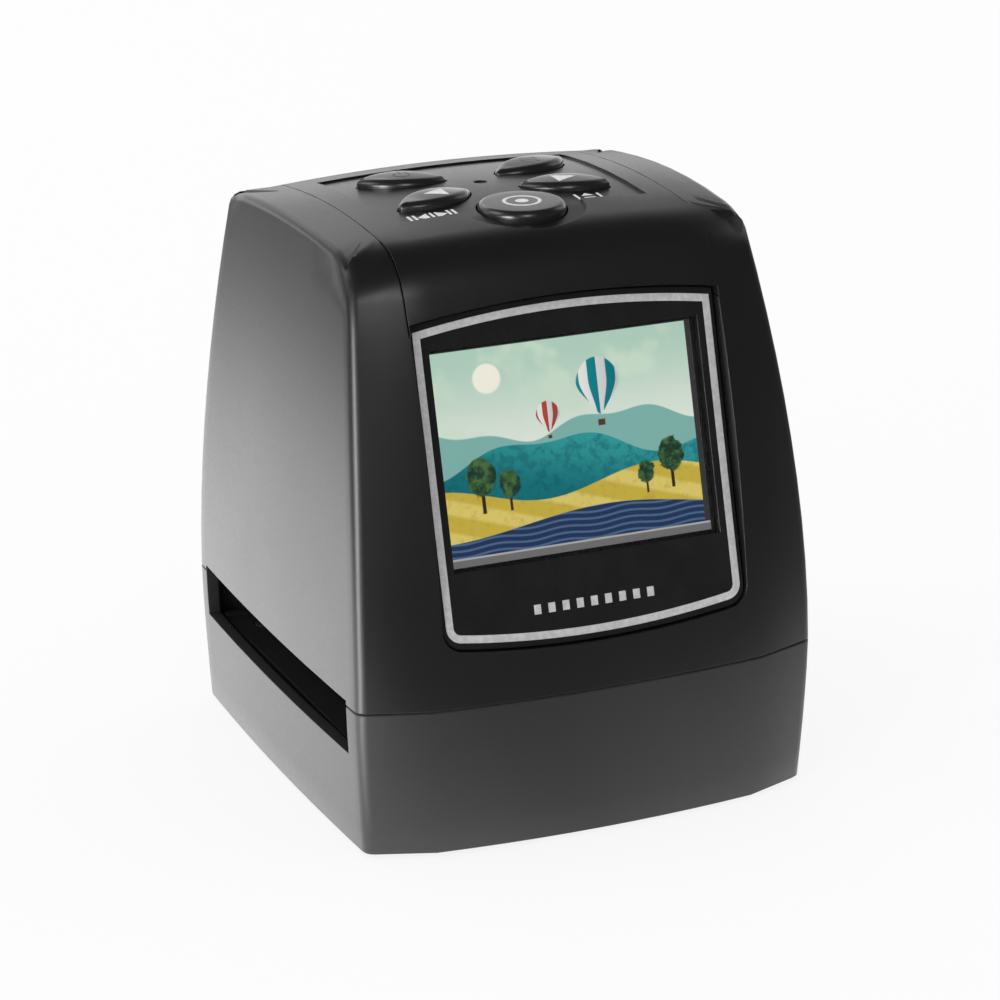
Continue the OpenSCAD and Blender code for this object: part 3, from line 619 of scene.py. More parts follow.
@dataclass(frozen=True)
class CoatedGlass(Finish):
    """Lens or filter glass with a coloured coating."""

    colour: Colour = tint(232, 240, 244)
    coating: Colour = tint(120, 84, 190)

    def paint(self, graph: Graph) -> None:
        """Clear glass whose coating tints what is seen aslant, with a little dust."""
        dust = graph.noise(0.0011, 3, 0.7)
        facing = graph.wire("ShaderNodeLayerWeight", None, {"Blend": 0.35}, output="Facing")
        graph.surface(
            Base_Color=graph.blend(facing * 0.5, self.colour, self.coating),
            Roughness=0.02 + dust.ramp(0.6, 0.9) * 0.1,
            Transmission_Weight=0.92,
            IOR=1.52,
        )


@dataclass(frozen=True)
class MilkyAcrylic(Finish):
    """Opal acrylic that spreads light."""

    colour: Colour = grey(228)

    def paint(self, graph: Graph) -> None:
        """Opal body with a fine matt face."""
        cloud = graph.noise(0.01, 3)
        matt = graph.noise(0.0003, 1)
        graph.surface(
            Base_Color=graph.blend(cloud, self.colour, tint(218, 224, 226)),
            Roughness=0.45 + matt * 0.15,
            Normal=graph.bump(matt, 0.000008),
            Subsurface_Weight=0.4,
            Subsurface_Radius=(0.002, 0.002, 0.002),
        )


@dataclass(frozen=True)
class PhosphorLamp(Finish):
    """Small lamp with a yellow phosphor face."""

    glow: Colour = tint(255, 236, 150)
    strength: float = 0.35

    def paint(self, graph: Graph) -> None:
        """Phosphor dots in a pale package."""
        grit = graph.cells(0.0005)
        colour = graph.blend(grit.ramp(0.2, 0.6), self.glow, tint(236, 228, 206))
        graph.surface(
            Base_Color=colour,
            Roughness=0.5 + grit * 0.2,
            Emission_Color=colour,
            Emission_Strength=self.strength,
            Normal=graph.bump(grit, 0.00002),
        )


@dataclass(frozen=True)
class PrintedInk(Finish):
    """Screen-printed ink on plastic."""

    colour: Colour = grey(188)

    def paint(self, graph: Graph) -> None:
        """Ink whose coverage varies a little, with a fine mesh texture."""
        cover = graph.noise(0.0009, 3, 0.6)
        mesh = graph.noise(0.00015, 1)
        graph.surface(
            Base_Color=graph.blend(cover.ramp(0.35, 0.7), shade(self.colour, 0.8), self.colour),
            Roughness=0.45 + mesh * 0.15,
            Normal=graph.bump(mesh, 0.000004),
            Specular_IOR_Level=0.35,
        )


@dataclass(frozen=True)
class PanelSpace:
    """Space of the leaning display: z points out of it and y runs up it."""

    out: float = 35.2499
    height: float = 69.997
    lean: float = 14.893

    @property
    def right(self) -> Vector:
        """Direction to the right over the panel."""
        return Vector((1, 0, 0))

    @property
    def up(self) -> Vector:
        """Direction up the panel."""
        a = math.radians(self.lean)
        return Vector((0, math.sin(a), math.cos(a)))

    @property
    def outward(self) -> Vector:
        """Direction out of the panel."""
        a = math.radians(self.lean)
        return Vector((0, -math.cos(a), math.sin(a)))

    @property
    def origin(self) -> Vector:
        """The window's centre in metres."""
        return Vector((0, -self.out, self.height)) * MM

    def matrix(self) -> Matrix:
        """Turns panel coordinates in metres into model coordinates."""
        rows = Matrix((self.right, self.up, self.outward)).transposed().to_4x4()
        return Matrix.Translation(self.origin) @ rows


@dataclass(frozen=True)
class LitPicture(Finish):
    """A lit display with a made-up view of hills, trees and balloons.

    Places are in millimetres from the window's centre; a tree or balloon has
    a third number, its size.
    """

    space: PanelSpace = PanelSpace()
    left: float = -24.7
    right: float = 23.9
    bottom: float = -17.2
    top: float = 18.6
    edge_blur: float = 0.06
    # Width of the painted highlight line along the margin's lower edge, in millimetres.
    painted_highlight_w: float = 0.35
    strength: float = 0.95
    sun: Point2 = (-14.5, 13.2)
    trees: tuple[Triple, ...] = (
        (-17.5, -3.6, 3.4), (-12.4, -5.4, 2.5), (18.6, -4.4, 3.1), (13.6, -6.8, 2.0),
    )
    balloons: tuple[tuple[Triple, Colour], ...] = (
        ((6.2, 9.4, 4.2), tint(14, 140, 150)),
        ((-3.8, 5.2, 2.3), tint(196, 74, 58)),
    )

    def paint(self, graph: Graph) -> None:
        """The view in the lit area, and round it the display's grey margin, emitted as painted
        light with a painted highlight line along its lower edge.
        """
        offset = graph.wire(
            "ShaderNodeVectorMath",
            {"operation": "SUBTRACT"},
            {0: graph.place(), 1: tuple(self.space.origin)},
        )
        u = self._along(graph, offset, self.space.right)
        v = self._along(graph, offset, self.space.up)
        lit = (
            u.below(self.right, self.edge_blur)
            * (0 - u).below(-self.left, self.edge_blur)
            * v.below(self.top, self.edge_blur)
            * (0 - v).below(-self.bottom, self.edge_blur)
        )
        # Painted light: the grey margin round the view glows as though lit, lighter under the view
        # than beside it, and the rim mask lays a painted highlight line along its lower edge.
        margin_with_painted_light = graph.blend(v.below(self.bottom, 0.1), grey(52), grey(112))
        rim = v.below(self.bottom, 0.05) * (0 - v).below(-self.bottom + self.painted_highlight_w, 0.1)
        margin_with_painted_light = graph.blend(rim, margin_with_painted_light, grey(176))
        colour = graph.blend(lit, margin_with_painted_light, self._view(graph, u, v))
        graph.surface(
            Base_Color=graph.blend(lit, grey(34), grey(8)),
            Emission_Color=colour,
            Emission_Strength=self.strength,
            Roughness=0.25 + graph.noise(0.002, 2) * 0.1,
            Specular_IOR_Level=0.2,
        )

    @staticmethod
    def _along(graph: Graph, offset: Wire, axis: Vector) -> Wire:
        """Coordinate along an axis in millimetres."""
        inputs = {0: offset, 1: tuple(axis)}
        dot = graph.wire("ShaderNodeVectorMath", {"operation": "DOT_PRODUCT"}, inputs, "Value")
        return dot * 1000

    def _view(self, graph: Graph, u: Wire, v: Wire) -> Wire:
        """Paints the landscape from the far sky to the near meadow.

        Args:
            graph: The material's graph.
            u: Millimetres to the right of the window's centre.
            v: Millimetres above it.

        Returns:
            The picture's colour.
        """
        haze = graph.noise(0.007, 2)
        leaves = graph.noise(0.0016, 4, 0.7)
        sky = graph.blend(v.ramp(-2, 18), tint(236, 244, 232), tint(186, 218, 200))
        sky = graph.blend(haze.ramp(0.48, 0.68) * 0.8, sky, tint(214, 236, 214))
        sun = self._disc(u, v, self.sun, (2.6, 2.6), 0.5)
        sky = graph.blend(sun, sky, tint(255, 252, 236))
        far = (u * 0.17).sine() * 1.5 + (u * 0.41 + 1.2).sine() * 0.7 + 3.4
        view = graph.blend(v.below(far, 0.3), sky, tint(132, 186, 178))
        near = (u * 0.12 + 2.1).sine() * 2.4 + (u * 0.31).sine() * 0.9 - 0.8
        slope = graph.blend((v + u * 0.2).ramp(-9, 2), tint(20, 116, 124), tint(52, 160, 160))
        slope = graph.blend(leaves.ramp(0.45, 0.62) * 0.5, slope, tint(16, 92, 104))
        view = graph.blend(v.below(near, 0.2), view, slope)
        field = (u * 0.15 - 0.7).sine() * 1.9 - 7.2
        rows = ((u * 0.35 + v * 1.1).sine()).ramp(-0.3, 0.6)
        meadow = graph.blend(rows, tint(206, 182, 70), tint(228, 208, 112))
        meadow = graph.blend(leaves.ramp(0.5, 0.7) * 0.4, meadow, tint(168, 142, 52))
        view = graph.blend(v.below(field, 0.2), view, meadow)
        lake = (u * 0.1 + 1.0).sine() * 1.6 - 13.0
        ripple = ((v * 5.5 + (u * 0.5).sine() * 1.4).sine()).ramp(0.1, 0.9)
        water = graph.blend(ripple * 0.6, tint(38, 56, 92), tint(96, 130, 168))
        view = graph.blend(v.below(lake, 0.2), view, water)
        for cx, cy, size in self.trees:
            trunk = abs(u - cx).below(size * 0.1, 0.15) * v.below(cy, 0.2)
            trunk = trunk * (0 - v).below(-(cy - size * 1.9), 0.2)
            view = graph.blend(trunk, view, tint(58, 40, 32))
            ragged_u, ragged_v = u + (leaves - 0.5) * 2.2, v + (leaves - 0.5) * 1.6
            crown = self._disc(ragged_u, ragged_v, (cx, cy), (size * 0.8, size), 0.3)
            green = graph.blend(leaves.ramp(0.4, 0.65), tint(30, 58, 46), tint(78, 118, 66))
            view = graph.blend(crown, view, green)
        for place, cloth in self.balloons:
            view = self._balloon(graph, view, u, v, place, cloth)
        return view

    @staticmethod
    def _disc(u: Wire, v: Wire, centre: Point2, radii: Point2, blur: float) -> Wire:
        """Mask of a soft-edged oval."""
        x, y = (u - centre[0]) / radii[0], (v - centre[1]) / radii[1]
        return x.hypot(y).below(1.0, blur / radii[0])

    @staticmethod
    def _balloon(
        graph: Graph, view: Wire, u: Wire, v: Wire, place: Triple, cloth: Colour
    ) -> Wire:
        """Adds a striped balloon with its basket.

        Args:
            graph: The material's graph.
            view: The picture so far.
            u: Millimetres to the right.
            v: Millimetres up.
            place: Centre and radius of the envelope.
            cloth: Colour of every other stripe.

        Returns:
            The picture with the balloon.
        """
        cx, cy, size = place
        taper = (v - cy).ramp(-size * 1.25, size * 0.3, 0.35, 1.0)
        stripes = (((u - cx) / (taper * size)) * 7.5).sine().ramp(-0.15, 0.15)
        dusk = (u - cx).ramp(-size, size)
        colour = graph.blend(stripes, cloth, tint(240, 244, 240))
        colour = graph.blend(dusk * 0.35, colour, tint(20, 60, 76))
        x, y = (u - cx) / (taper * size), (v - cy) / (size * 1.2)
        view = graph.blend(x.hypot(y).below(1.0, 0.2 / size), view, colour)
        basket = abs(u - cx).below(size * 0.16, 0.15)
        basket = basket * abs(v - (cy - size * 1.55)).below(size * 0.13, 0.15)
        return graph.blend(basket, view, tint(92, 62, 40))


@dataclass(frozen=True)
class StudioFloor(Finish):
    """White floor that keeps a soft shadow, brightest behind the object and to its left.

    Reflections also meet a bright card that starts in front of the left edge
    and lies away from it. Places are in metres.
    """

    seen: float = 0.86
    mirrored: float = 0.9
    pool_at: Point2 = (-0.12, 0.1)
    pool_radii: Point2 = (0.05, 0.46)
    pool_light: Point2 = (2.15, 0.25)
    card_at: Point2 = (-0.04, -0.04)
    card_way: Point2 = (-0.92, -0.4)
    card_spread: Point2 = (0.12, 0.4)
    card_start: float = 0.08
    card_light: float = 7.0

    def paint(self, graph: Graph) -> None:
        """Matt white, partly lit by itself where the eye or a reflection meets it."""
        colour = graph.blend(graph.noise(0.4, 2), grey(240), grey(243))
        eye, mirror = graph.rays()
        x, y, _ = graph.axes()
        ahead = (y + abs(x) * 0.55).ramp(-0.11, 0.02, 0.02, 1.0)
        right = x.ramp(0.0, 0.22, 1.0, 0.4)
        away = (x - self.pool_at[0]).hypot(y - self.pool_at[1])
        pool = ahead * right * away.ramp(*self.pool_radii, *self.pool_light)
        glow = eye + (1 - eye) * (pool + self._card(x - self.card_at[0], y - self.card_at[1]))
        matt = graph.wire("ShaderNodeBsdfDiffuse", None, {"Color": colour})
        white = graph.wire("ShaderNodeEmission", None, {"Color": WHITE, "Strength": glow})
        share = eye * self.seen + (1 - eye) * mirror * self.mirrored
        graph.close(graph.wire("ShaderNodeMixShader", None, {0: share, 1: matt, 2: white}))

    def _card(self, x: Wire, y: Wire) -> Wire:
        """Light of the card, which widens as it runs off from its start."""
        way_x, way_y = self.card_way
        along = x * way_x + y * way_y
        across = abs(x * way_y - y * way_x)
        width = (across / along.most(0.01)).ramp(*self.card_spread, 1.0, 0.0)
        return width * along.ramp(0.0, self.card_start, 0.0, self.card_light)


HOUSING_BLACK = MouldedPlastic("housing_satin_black", grey(23), 0.35, specular=0.6, lacquer=0.25)
COVER_BLACK = replace(HOUSING_BLACK, name="cover_satin_black", edge=0.00018)
BASE_CHARCOAL = MouldedPlastic("base_charcoal", grey(45), 0.42, specular=0.55, lacquer=0.2)
KEY_BLACK = MouldedPlastic(
    "key_satin_black", grey(28), 0.32, grain=0.0002, depth=0.000003, edge=0.00012,
    specular=0.9, lacquer=0.6, lacquer_roughness=0.13,
)
CHANNEL_BLACK = MouldedPlastic("channel_black", grey(30), 0.55)
SWITCH_BLACK = MouldedPlastic("switch_black", grey(36), 0.5, edge=0.0001)
PLUNGER_CREAM = MouldedPlastic("plunger_cream", tint(188, 180, 158), 0.45, edge=0.0001)
REFLECTOR_WHITE = MouldedPlastic("reflector_white", grey(236), 0.5, mottle=0.02)
GUIDE_SMOKED = MouldedPlastic("guide_smoked", tint(30, 32, 34), 0.16, mottle=0.02)
LENS_BLACK = GlossPanel("display_gloss_black")
WINDOW_CLEAR = ClearPane("window_clear")
FOOT_RUBBER = SoftRubber("foot_rubber")
SEAL_FOAM = CellFoam("seal_foam")
TIN_PLATE = PlainMetal("tin_plate", grey(170), 0.3)
STEEL_PLATE = PlainMetal("steel_plate", grey(138), 0.4)
SCREW_ZINC = PlainMetal("screw_zinc", grey(184), 0.28, brush=(14, 14, 1))
BRASS = PlainMetal("turned_brass", tint(202, 164, 92), 0.26, brush=(1, 1, 40))
BARREL_BLACK = PlainMetal("barrel_anodised", grey(44), 0.42, brush=(1, 1, 40))
BOARD_GREEN = CircuitBoard("board_green")
BOARD_WHITE = CircuitBoard("board_white", tint(226, 226, 218), tint(204, 206, 198), pitch=0.0022)
CHIP_EPOXY = ChipPackage("chip_epoxy")
RIBBON_AMBER = RibbonFilm("ribbon_amber")
LENS_GLASS = CoatedGlass("lens_glass")
FILTER_GLASS = CoatedGlass("filter_glass", tint(168, 214, 224), coating=tint(200, 92, 110))
OPAL_ACRYLIC = MilkyAcrylic("opal_acrylic")
LAMP_WHITE = PhosphorLamp("lamp_white")
LAMP_GREEN = PhosphorLamp("lamp_green", tint(150, 240, 160), strength=0.25)
PRINT_SILVER = PrintedInk("print_silver", grey(196))
PRINT_WHITE = PrintedInk("print_white", grey(236))
PRINT_FAINT = PrintedInk("print_faint", grey(104))
PICTURE = LitPicture("display_picture")


# ------------------------------------------------------------------ body shape


class Zone(Enum):
    """Part of the body's outline."""

    FRONT = "front"
    SIDE = "side"
    BACK = "back"
    FRONT_CORNER = "front corner"
    BACK_CORNER = "back corner"


@dataclass(frozen=True)
class Station:
    """One place on the outline: its zone, its share along it, and its side."""

    zone: Zone
    share: float
    side: int = 0


@dataclass(frozen=True)
class BodyForm:
    """Outer form of base and housing, in millimetres."""

    body_w: float = 89.6
    body_d: float = 92.4
    body_h: float = 106.8
    base_h: float = 27.2
    foot_lift: float = 0.8
    corner_r: float = 2.4
    base_draft: float = 1.3
    side_taper: float = 6.8
    front_lean: float = 16.9
    back_lean: float = 8.9
    front_bow: float = 6.3
    front_bow_top: float = 3.8
    side_bow: float = 1.0
    back_bow: float = 0.6
    crown_across_r: float = 380.0
    crown_along_r: float = 210.0
    side_edge_r: float = 1.4
    front_edge_r: float = 7.0
    back_edge_r: float = 5.8
    crown_y: float = -0.5
    crown_line: float = 0.55
    facet_at: float = 0.75
    facet_share: float = 0.32
    facet_blend: float = 0.05
    side_curve: float = 1.78
    front_curve: float = 1.84
    back_curve: float = 1.59
    base_curve: float = 1.5
    corner_pull: float = 0.67
    corner_r_min: float = 0.8
    lower_chamfer: float = 0.3
    rim_drop: float = 1.5
    base_steps: int = 20
    wall_steps: int = 40
    edge_steps: int = 10
    crown_steps: int = 12

    @property
    def top_z(self) -> float:
        """Height of the crown."""
        return self.foot_lift + self.body_h

    @property
    def split_z(self) -> float:
        """Height of the seam."""
        return self.foot_lift + self.base_h

    @property
    def corner_front(self) -> float:
        """Place of the front corners at the seam."""
        return self.front_bow - self.body_d / 2

    @property
    def corner_back(self) -> float:
        """Place of the back corners at the seam."""
        return self.body_d / 2 - self.back_bow

    def base_rise(self, z: float) -> float:
        """Share of the base's draft taken back at height z."""
        t = min(1.0, max(0.0, (z - self.foot_lift) / self.base_h))
        return 1 - (1 - t) ** self.base_curve

    def upper_rise(self, z: float) -> float:
        """Share of the way up the housing."""
        return max(0.0, (z - self.split_z) / (self.body_h - self.base_h))

    def half_w(self, z: float) -> float:
        """Half width between the side faces' corners at height z."""
        half = self.body_w / 2 - self.side_bow
        half -= self.base_draft * (1 - self.base_rise(z))
        return half - self.side_taper * self.upper_rise(z) ** self.side_curve

    def front_y(self, z: float) -> float:
        """Place of the front corners at height z."""
        y = self.corner_front + self.base_draft * (1 - self.base_rise(z))
        return y + self.front_lean * self.upper_rise(z) ** self.front_curve

    def back_y(self, z: float) -> float:
        """Place of the back corners at height z."""
        y = self.corner_back + self.base_draft * (1 - self.base_rise(z)) / 2
        return y - self.back_lean * self.upper_rise(z) ** self.back_curve

    def bow(self, z: float) -> float:
        """How far the middle of the front stands out at height z."""
        return mix(self.front_bow, self.front_bow_top, self.upper_rise(z))

    def crown(self, x: float, y: float) -> float:
        """Height of the top surface."""
        across = x * x / (2 * self.crown_across_r)
        return self.top_z - across - (y - self.crown_y) ** 2 / (2 * self.crown_along_r)

    def rolled(self, x: float, y: float) -> float:
        """Height of the top surface with its bends down to front and back."""
        z = self.top_z - 2
        front, back = self.front_y(z), self.back_y(z)
        ahead = roll_off(y - front, front - self.front_y(z - self.front_edge_r), self.front_edge_r)
        behind = roll_off(back - y, self.back_y(z - self.back_edge_r) - back, self.back_edge_r)
        return self.crown(x, y) - ahead - behind

    def front_line(self, u: float, drop: float) -> float:
        """Front in plan: an arc, a facet to each corner, and a soft bend between.

        Args:
            u: Share of the half width.
            drop: How far the middle stands out.

        Returns:
            Distance behind the corner line, below zero in front of it.
        """
        u = abs(u)
        slope_in = 2 * self.facet_share * drop / self.facet_at
        slope_out = (1 - self.facet_share) * drop / (1 - self.facet_at)
        knee = self.facet_share * drop - drop
        if u < self.facet_at:
            line = self.facet_share * drop * (u / self.facet_at) ** 2 - drop
        else:
            line = knee + slope_out * (u - self.facet_at)
        near = 1 - abs(u - self.facet_at) / self.facet_blend
        if near > 0:
            line += (slope_out - slope_in) * self.facet_blend * near * near / 4
        return line

    def stations(self, fine: int) -> list[Station]:
        """Stations round the outline.

        Args:
            fine: Number of steps over half of the front.

        Returns:
            The stations, in order round the body.
        """
        front = [Station(Zone.FRONT, i / fine) for i in range(-fine, fine + 1)]
        corner = [0.25, 0.5, 0.75]
        side = [i / fine for i in range(-fine, fine + 1)]
        out = list(front)
        out += [Station(Zone.FRONT_CORNER, t, 1) for t in corner]
        out += [Station(Zone.SIDE, t, 1) for t in side]
        out += [Station(Zone.BACK_CORNER, t, 1) for t in corner]
        out += [Station(Zone.BACK, -t) for t in side]
        out += [Station(Zone.BACK_CORNER, t, -1) for t in reversed(corner)]
        out += [Station(Zone.SIDE, t, -1) for t in reversed(side)]
        out += [Station(Zone.FRONT_CORNER, t, -1) for t in reversed(corner)]
        return out

    def plan_point(self, s: Station, z: float, inset: float) -> Point2:
        """Point of the outline at height z.

        Args:
            s: The station.
            z: Height.
            inset: How far the outline is drawn in.

        Returns:
            The point's x and y.
        """
        hw = self.half_w(z) - inset
        yf, yb = self.front_y(z) + inset, self.back_y(z) - inset
        drop = self.bow(z)
        r = max(self.corner_r - inset, self.corner_r_min)
        mid, half, k = (yf + yb) / 2, (yb - yf) / 2, self.corner_pull * r
        if s.zone is Zone.FRONT:
            x = s.share * (hw - k)
            return (x, yf + self.front_line(x / hw, drop))
        if s.zone is Zone.SIDE:
            y = mix(mid, yf + k, -s.share) if s.share < 0 else mix(mid, yb - r, s.share)
            return (s.side * (hw + self.side_bow * (1 - ((y - mid) / half) ** 2)), y)
        if s.zone is Zone.BACK:
            x = s.share * (hw - r)
            return (x, yb + self.back_bow * (1 - (x / hw) ** 2))
        if s.zone is Zone.FRONT_CORNER:
            a = (hw - k, yf + self.front_line(1 - k / hw, drop))
            v = (hw, yf)
            b = (hw + self.side_bow * (1 - ((half - k) / half) ** 2), yf + k)
        else:
            a = (hw + self.side_bow * (1 - ((half - r) / half) ** 2), yb - r)
            v = (hw, yb)
            b = (hw - r, yb + self.back_bow * (1 - ((hw - r) / hw) ** 2))
        p = bend(Vector(a), Vector(v), Vector(b), s.share)
        return (s.side * p.x, p.y)

    def edge_r(self, s: Station) -> float:
        """Radius of the top edge at a station."""
        if s.zone is Zone.FRONT:
            return self.front_edge_r
        if s.zone is Zone.BACK:
            return self.back_edge_r
        if s.zone is Zone.SIDE:
            return self.side_edge_r
        if s.zone is Zone.FRONT_CORNER:
            return mix(self.front_edge_r, self.side_edge_r, s.share)
        return mix(self.side_edge_r, self.back_edge_r, s.share)

    def flat_ring(self, stations: Sequence[Station], z: float, inset: float) -> list[Vector]:
        """Outline at one height."""
        return [Vector((*self.plan_point(s, z, inset), z)) for s in stations]

    def base_rings(self, fine: int) -> list[list[Vector]]:
        """Outer skin of the base, from its lower edge to the seam."""
        stations = self.stations(fine)
        low, steps = self.foot_lift + self.lower_chamfer, self.base_steps
        heights = [mix(low, self.split_z, k / steps) for k in range(steps + 1)]
        rings = [self.flat_ring(stations, self.foot_lift, self.lower_chamfer)]
        return rings + [self.flat_ring(stations, z, 0) for z in heights]

    def upper_rings(self, fine: int) -> list[list[Vector]]:
        """Outer skin of the housing, from the seam over the edge to the crown."""
        return [list(ring) for ring in zip(*(self.profile(s) for s in self.stations(fine)))]

    def profile(self, s: Station) -> list[Vector]:
        """The housing's skin over one station, from the seam to the crown."""
        rim_z = self.top_z - self.rim_drop
        surface = self.rolled if s.zone is Zone.SIDE else self.crown
        zv, r = surface(*self.plan_point(s, rim_z, 0)), self.edge_r(s)
        heights = [mix(self.split_z, zv - r, k / self.wall_steps) for k in range(self.wall_steps)]
        points = [Vector((*self.plan_point(s, z, 0), z)) for z in heights]
        a = Vector((*self.plan_point(s, zv - r, 0), zv - r))
        v = Vector((*self.plan_point(s, zv, 0), zv))
        top = self.plan_point(s, zv, r)
        b = Vector((*top, surface(*top)))
        points += [bend(a, v, b, k / (self.edge_steps - 1)) for k in range(self.edge_steps)]
        p = self.plan_point(s, rim_z, r)
        for k in range(self.crown_steps):
            t = 1 - (k + 1) / (self.crown_steps + 1)
            x, y = mix(self.crown_line, 1, t) * p[0], t * p[1]
            points.append(Vector((x, y, self.crown(x, y))))
        return points


def roll_off(depth: float, lean: float, radius: float) -> float:
    """Height that an edge's bend takes off the top.

    Args:
        depth: Distance behind the wall, in millimetres.
        lean: How far the wall leans out over the bend's height.
        radius: The bend's radius.

    Returns:
        The height taken off.
    """
    if depth >= radius:
        return 0.0
    start = max(depth, 0.0)
    t = (math.sqrt(lean * lean + (radius - lean) * (lean + start)) - lean) / (radius - lean)
    return radius * (1 - t) ** 2


def bend(a: Vector, v: Vector, b: Vector, t: float) -> Vector:
    """Point on the curve from a to b that leans towards v."""
    return a * (1 - t) ** 2 + v * (2 * t * (1 - t)) + b * (t * t)


class SkinField:
    """Smooth normals of a skin, read at any point near it."""

    def __init__(self, rings: Sequence[Sequence[Vector]]) -> None:
        """Makes the field.

        Args:
            rings: Closed rings of equal counts, in millimetres, from the
                bottom to the top, running anticlockwise from above.
        """
        self.count = count = len(rings[0])
        self.points = [p * MM for ring in rings for p in ring]
        self.faces: list[tuple[int, int, int]] = []
        for k in range(len(rings) - 1):
            for i in range(count):
                j = (i + 1) % count
                low, high = k * count, (k + 1) * count
                self.faces.append((low + i, low + j, high + j))
                self.faces.append((low + i, high + j, high + i))
        self.normals = [Vector() for _ in self.points]
        for face in self.faces:
            a, b, c = (self.points[i] for i in face)
            cross = (b - a).cross(c - a)
            for i in face:
                self.normals[i] += cross
        for normal in self.normals:
            normal.normalize()
        self.tree = BVHTree.FromPolygons(self.points, self.faces)

    def even_out(self, spots: Sequence[Vector], radius: float, rounds: int = 60) -> None:
        """Blends the normals round the spots where three bends meet.

        Args:
            spots: Places in metres.
            radius: Reach round each spot in metres.
            rounds: Number of passes.
        """
        count, last = self.count, len(self.normals) - 1
        inside = [
            i
            for i, point in enumerate(self.points)
            if any((point - spot).length < radius for spot in spots)
        ]
        for _ in range(rounds):
            fresh = []
            for i in inside:
                first = i - i % count
                beside = (first + (i + 1) % count, first + (i - 1) % count)
                around = (*beside, max(i - count, 0), min(i + count, last))
                own = self.normals[i] * 0.5
                fresh.append(sum((self.normals[j] for j in around), own).normalized())
            for i, normal in zip(inside, fresh):
                self.normals[i] = normal

    def at(self, point: Vector) -> tuple[float, Vector]:
        """Nearest place on the skin.

        Args:
            point: A point in metres.

        Returns:
            The distance to the skin and the smooth normal there.
        """
        place, _, index, distance = self.tree.find_nearest(point)
        face = self.faces[index]
        weights = poly_3d_calc([self.points[i] for i in face], place)
        normal = Vector()
        for weight, i in zip(weights, face):
            normal += self.normals[i] * weight
        return distance, normal.normalized()


# ------------------------------------------------------------------ mesh tools


def add_object(name: str, data: bpy.types.ID) -> bpy.types.Object:
    """Makes an object of a mesh, lamp or camera and puts it in the scene."""
    made = bpy.data.objects.new(name, data)
    bpy.context.scene.collection.objects.link(made)
    return made


def lift(outline: Sequence[Point2], z: float) -> list[Vector]:
    """Outline at one height."""
    return [Vector((x, y, z)) for x, y in outline]


class MeshKit:
    """Makes closed meshes from rings and outlines given in millimetres."""

    def __init__(self) -> None:
        """Starts an empty mesh."""
        self.points: list[Vector] = []
        self.faces: list[tuple[int, ...]] = []

    def loft(self, rings: Sequence[Sequence[Vector]]) -> MeshKit:
        """Adds a closed solid through rings of equal counts."""
        first, count = len(self.points), len(rings[0])
        for ring in rings:
            self.points += list(ring)
        for k in range(len(rings) - 1):
            for i in range(count):
                j = (i + 1) % count
                low, high = first + k * count, first + (k + 1) * count
                self.faces.append((low + i, low + j, high + j, high + i))
        ends = ((rings[0], first, True), (rings[-1], len(self.points) - count, False))
        for ring, start, turned in ends:
            centre = len(self.points)
            self.points.append(sum(ring, Vector()) / count)
            for i in range(count):
                pair = (start + i, start + (i + 1) % count)
                self.faces.append((*(reversed(pair) if turned else pair), centre))
        return self

    def ribbon(
        self, outer: Sequence[Point2], inner: Sequence[Point2], low: float, high: float
    ) -> MeshKit:
        """Adds a flat closed band between two outlines of equal counts."""
        first, count = len(self.points), len(outer)
        for outline, z in ((outer, low), (outer, high), (inner, high), (inner, low)):
            self.points += lift(outline, z)
        for k in range(4):
            for i in range(count):
                j, m = (i + 1) % count, (k + 1) % 4
                low_i, high_i = first + k * count, first + m * count
                self.faces.append((low_i + i, low_i + j, high_i + j, high_i + i))
        return self

    def plate(self, outline: Sequence[Point2], low: float, high: float) -> MeshKit:
        """Adds a flat closed plate with the given outline."""
        return self.loft([lift(outline, low), lift(outline, high)])

    def move(self, matrix: Matrix) -> MeshKit:
        """Moves all points by a matrix that works in metres."""
        self.points = [(matrix @ (p * MM)) / MM for p in self.points]
        return self

    def piece(self, name: str, smooth: float | None = 35.0) -> bpy.types.Object:
        """Makes the object.

        Args:
            name: The piece's name.
            smooth: Angle in degrees under which an edge is shaded smooth.

        Returns:
            The object, at the origin, in metres.
        """
        mesh = bpy.data.meshes.new(name)
        mesh.from_pydata([tuple(p * MM) for p in self.points], [], self.faces)
        bm = bmesh.new()
        bm.from_mesh(mesh)
        bmesh.ops.remove_doubles(bm, verts=bm.verts, dist=1e-7)
        bmesh.ops.recalc_face_normals(bm, faces=bm.faces)
        bm.to_mesh(mesh)
        bm.free()
        if smooth is not None:
            mesh.shade_smooth()
            mesh.set_sharp_from_angle(angle=math.radians(smooth))
        return add_object(name, mesh)


def offset_loop(outline: Sequence[Point2], inset: float) -> list[Point2]:
    """Draws a closed anticlockwise outline in, with mitred corners.

    Args:
        outline: The outline's points.
        inset: Distance to draw it in.

    Returns:
        The points of the inner outline.
    """
    out: list[Point2] = []
    count = len(outline)
    for i in range(count):
        a, b, c = (Vector(outline[(i + d) % count]) for d in (-1, 0, 1))
        before, after = (b - a).normalized(), (c - b).normalized()
        side_a, side_b = Vector((-before.y, before.x)), Vector((-after.y, after.x))
        middle = (side_a + side_b).normalized()
        reach = inset / max(middle.dot(side_a), 0.3)
        out.append(tuple(b + middle * reach))
    return out


def circle(radius: float, steps: int) -> list[Point2]:
    """Points of a circle, anticlockwise."""
    turns = [2 * math.pi * i / steps for i in range(steps)]
    return [(radius * math.cos(t), radius * math.sin(t)) for t in turns]


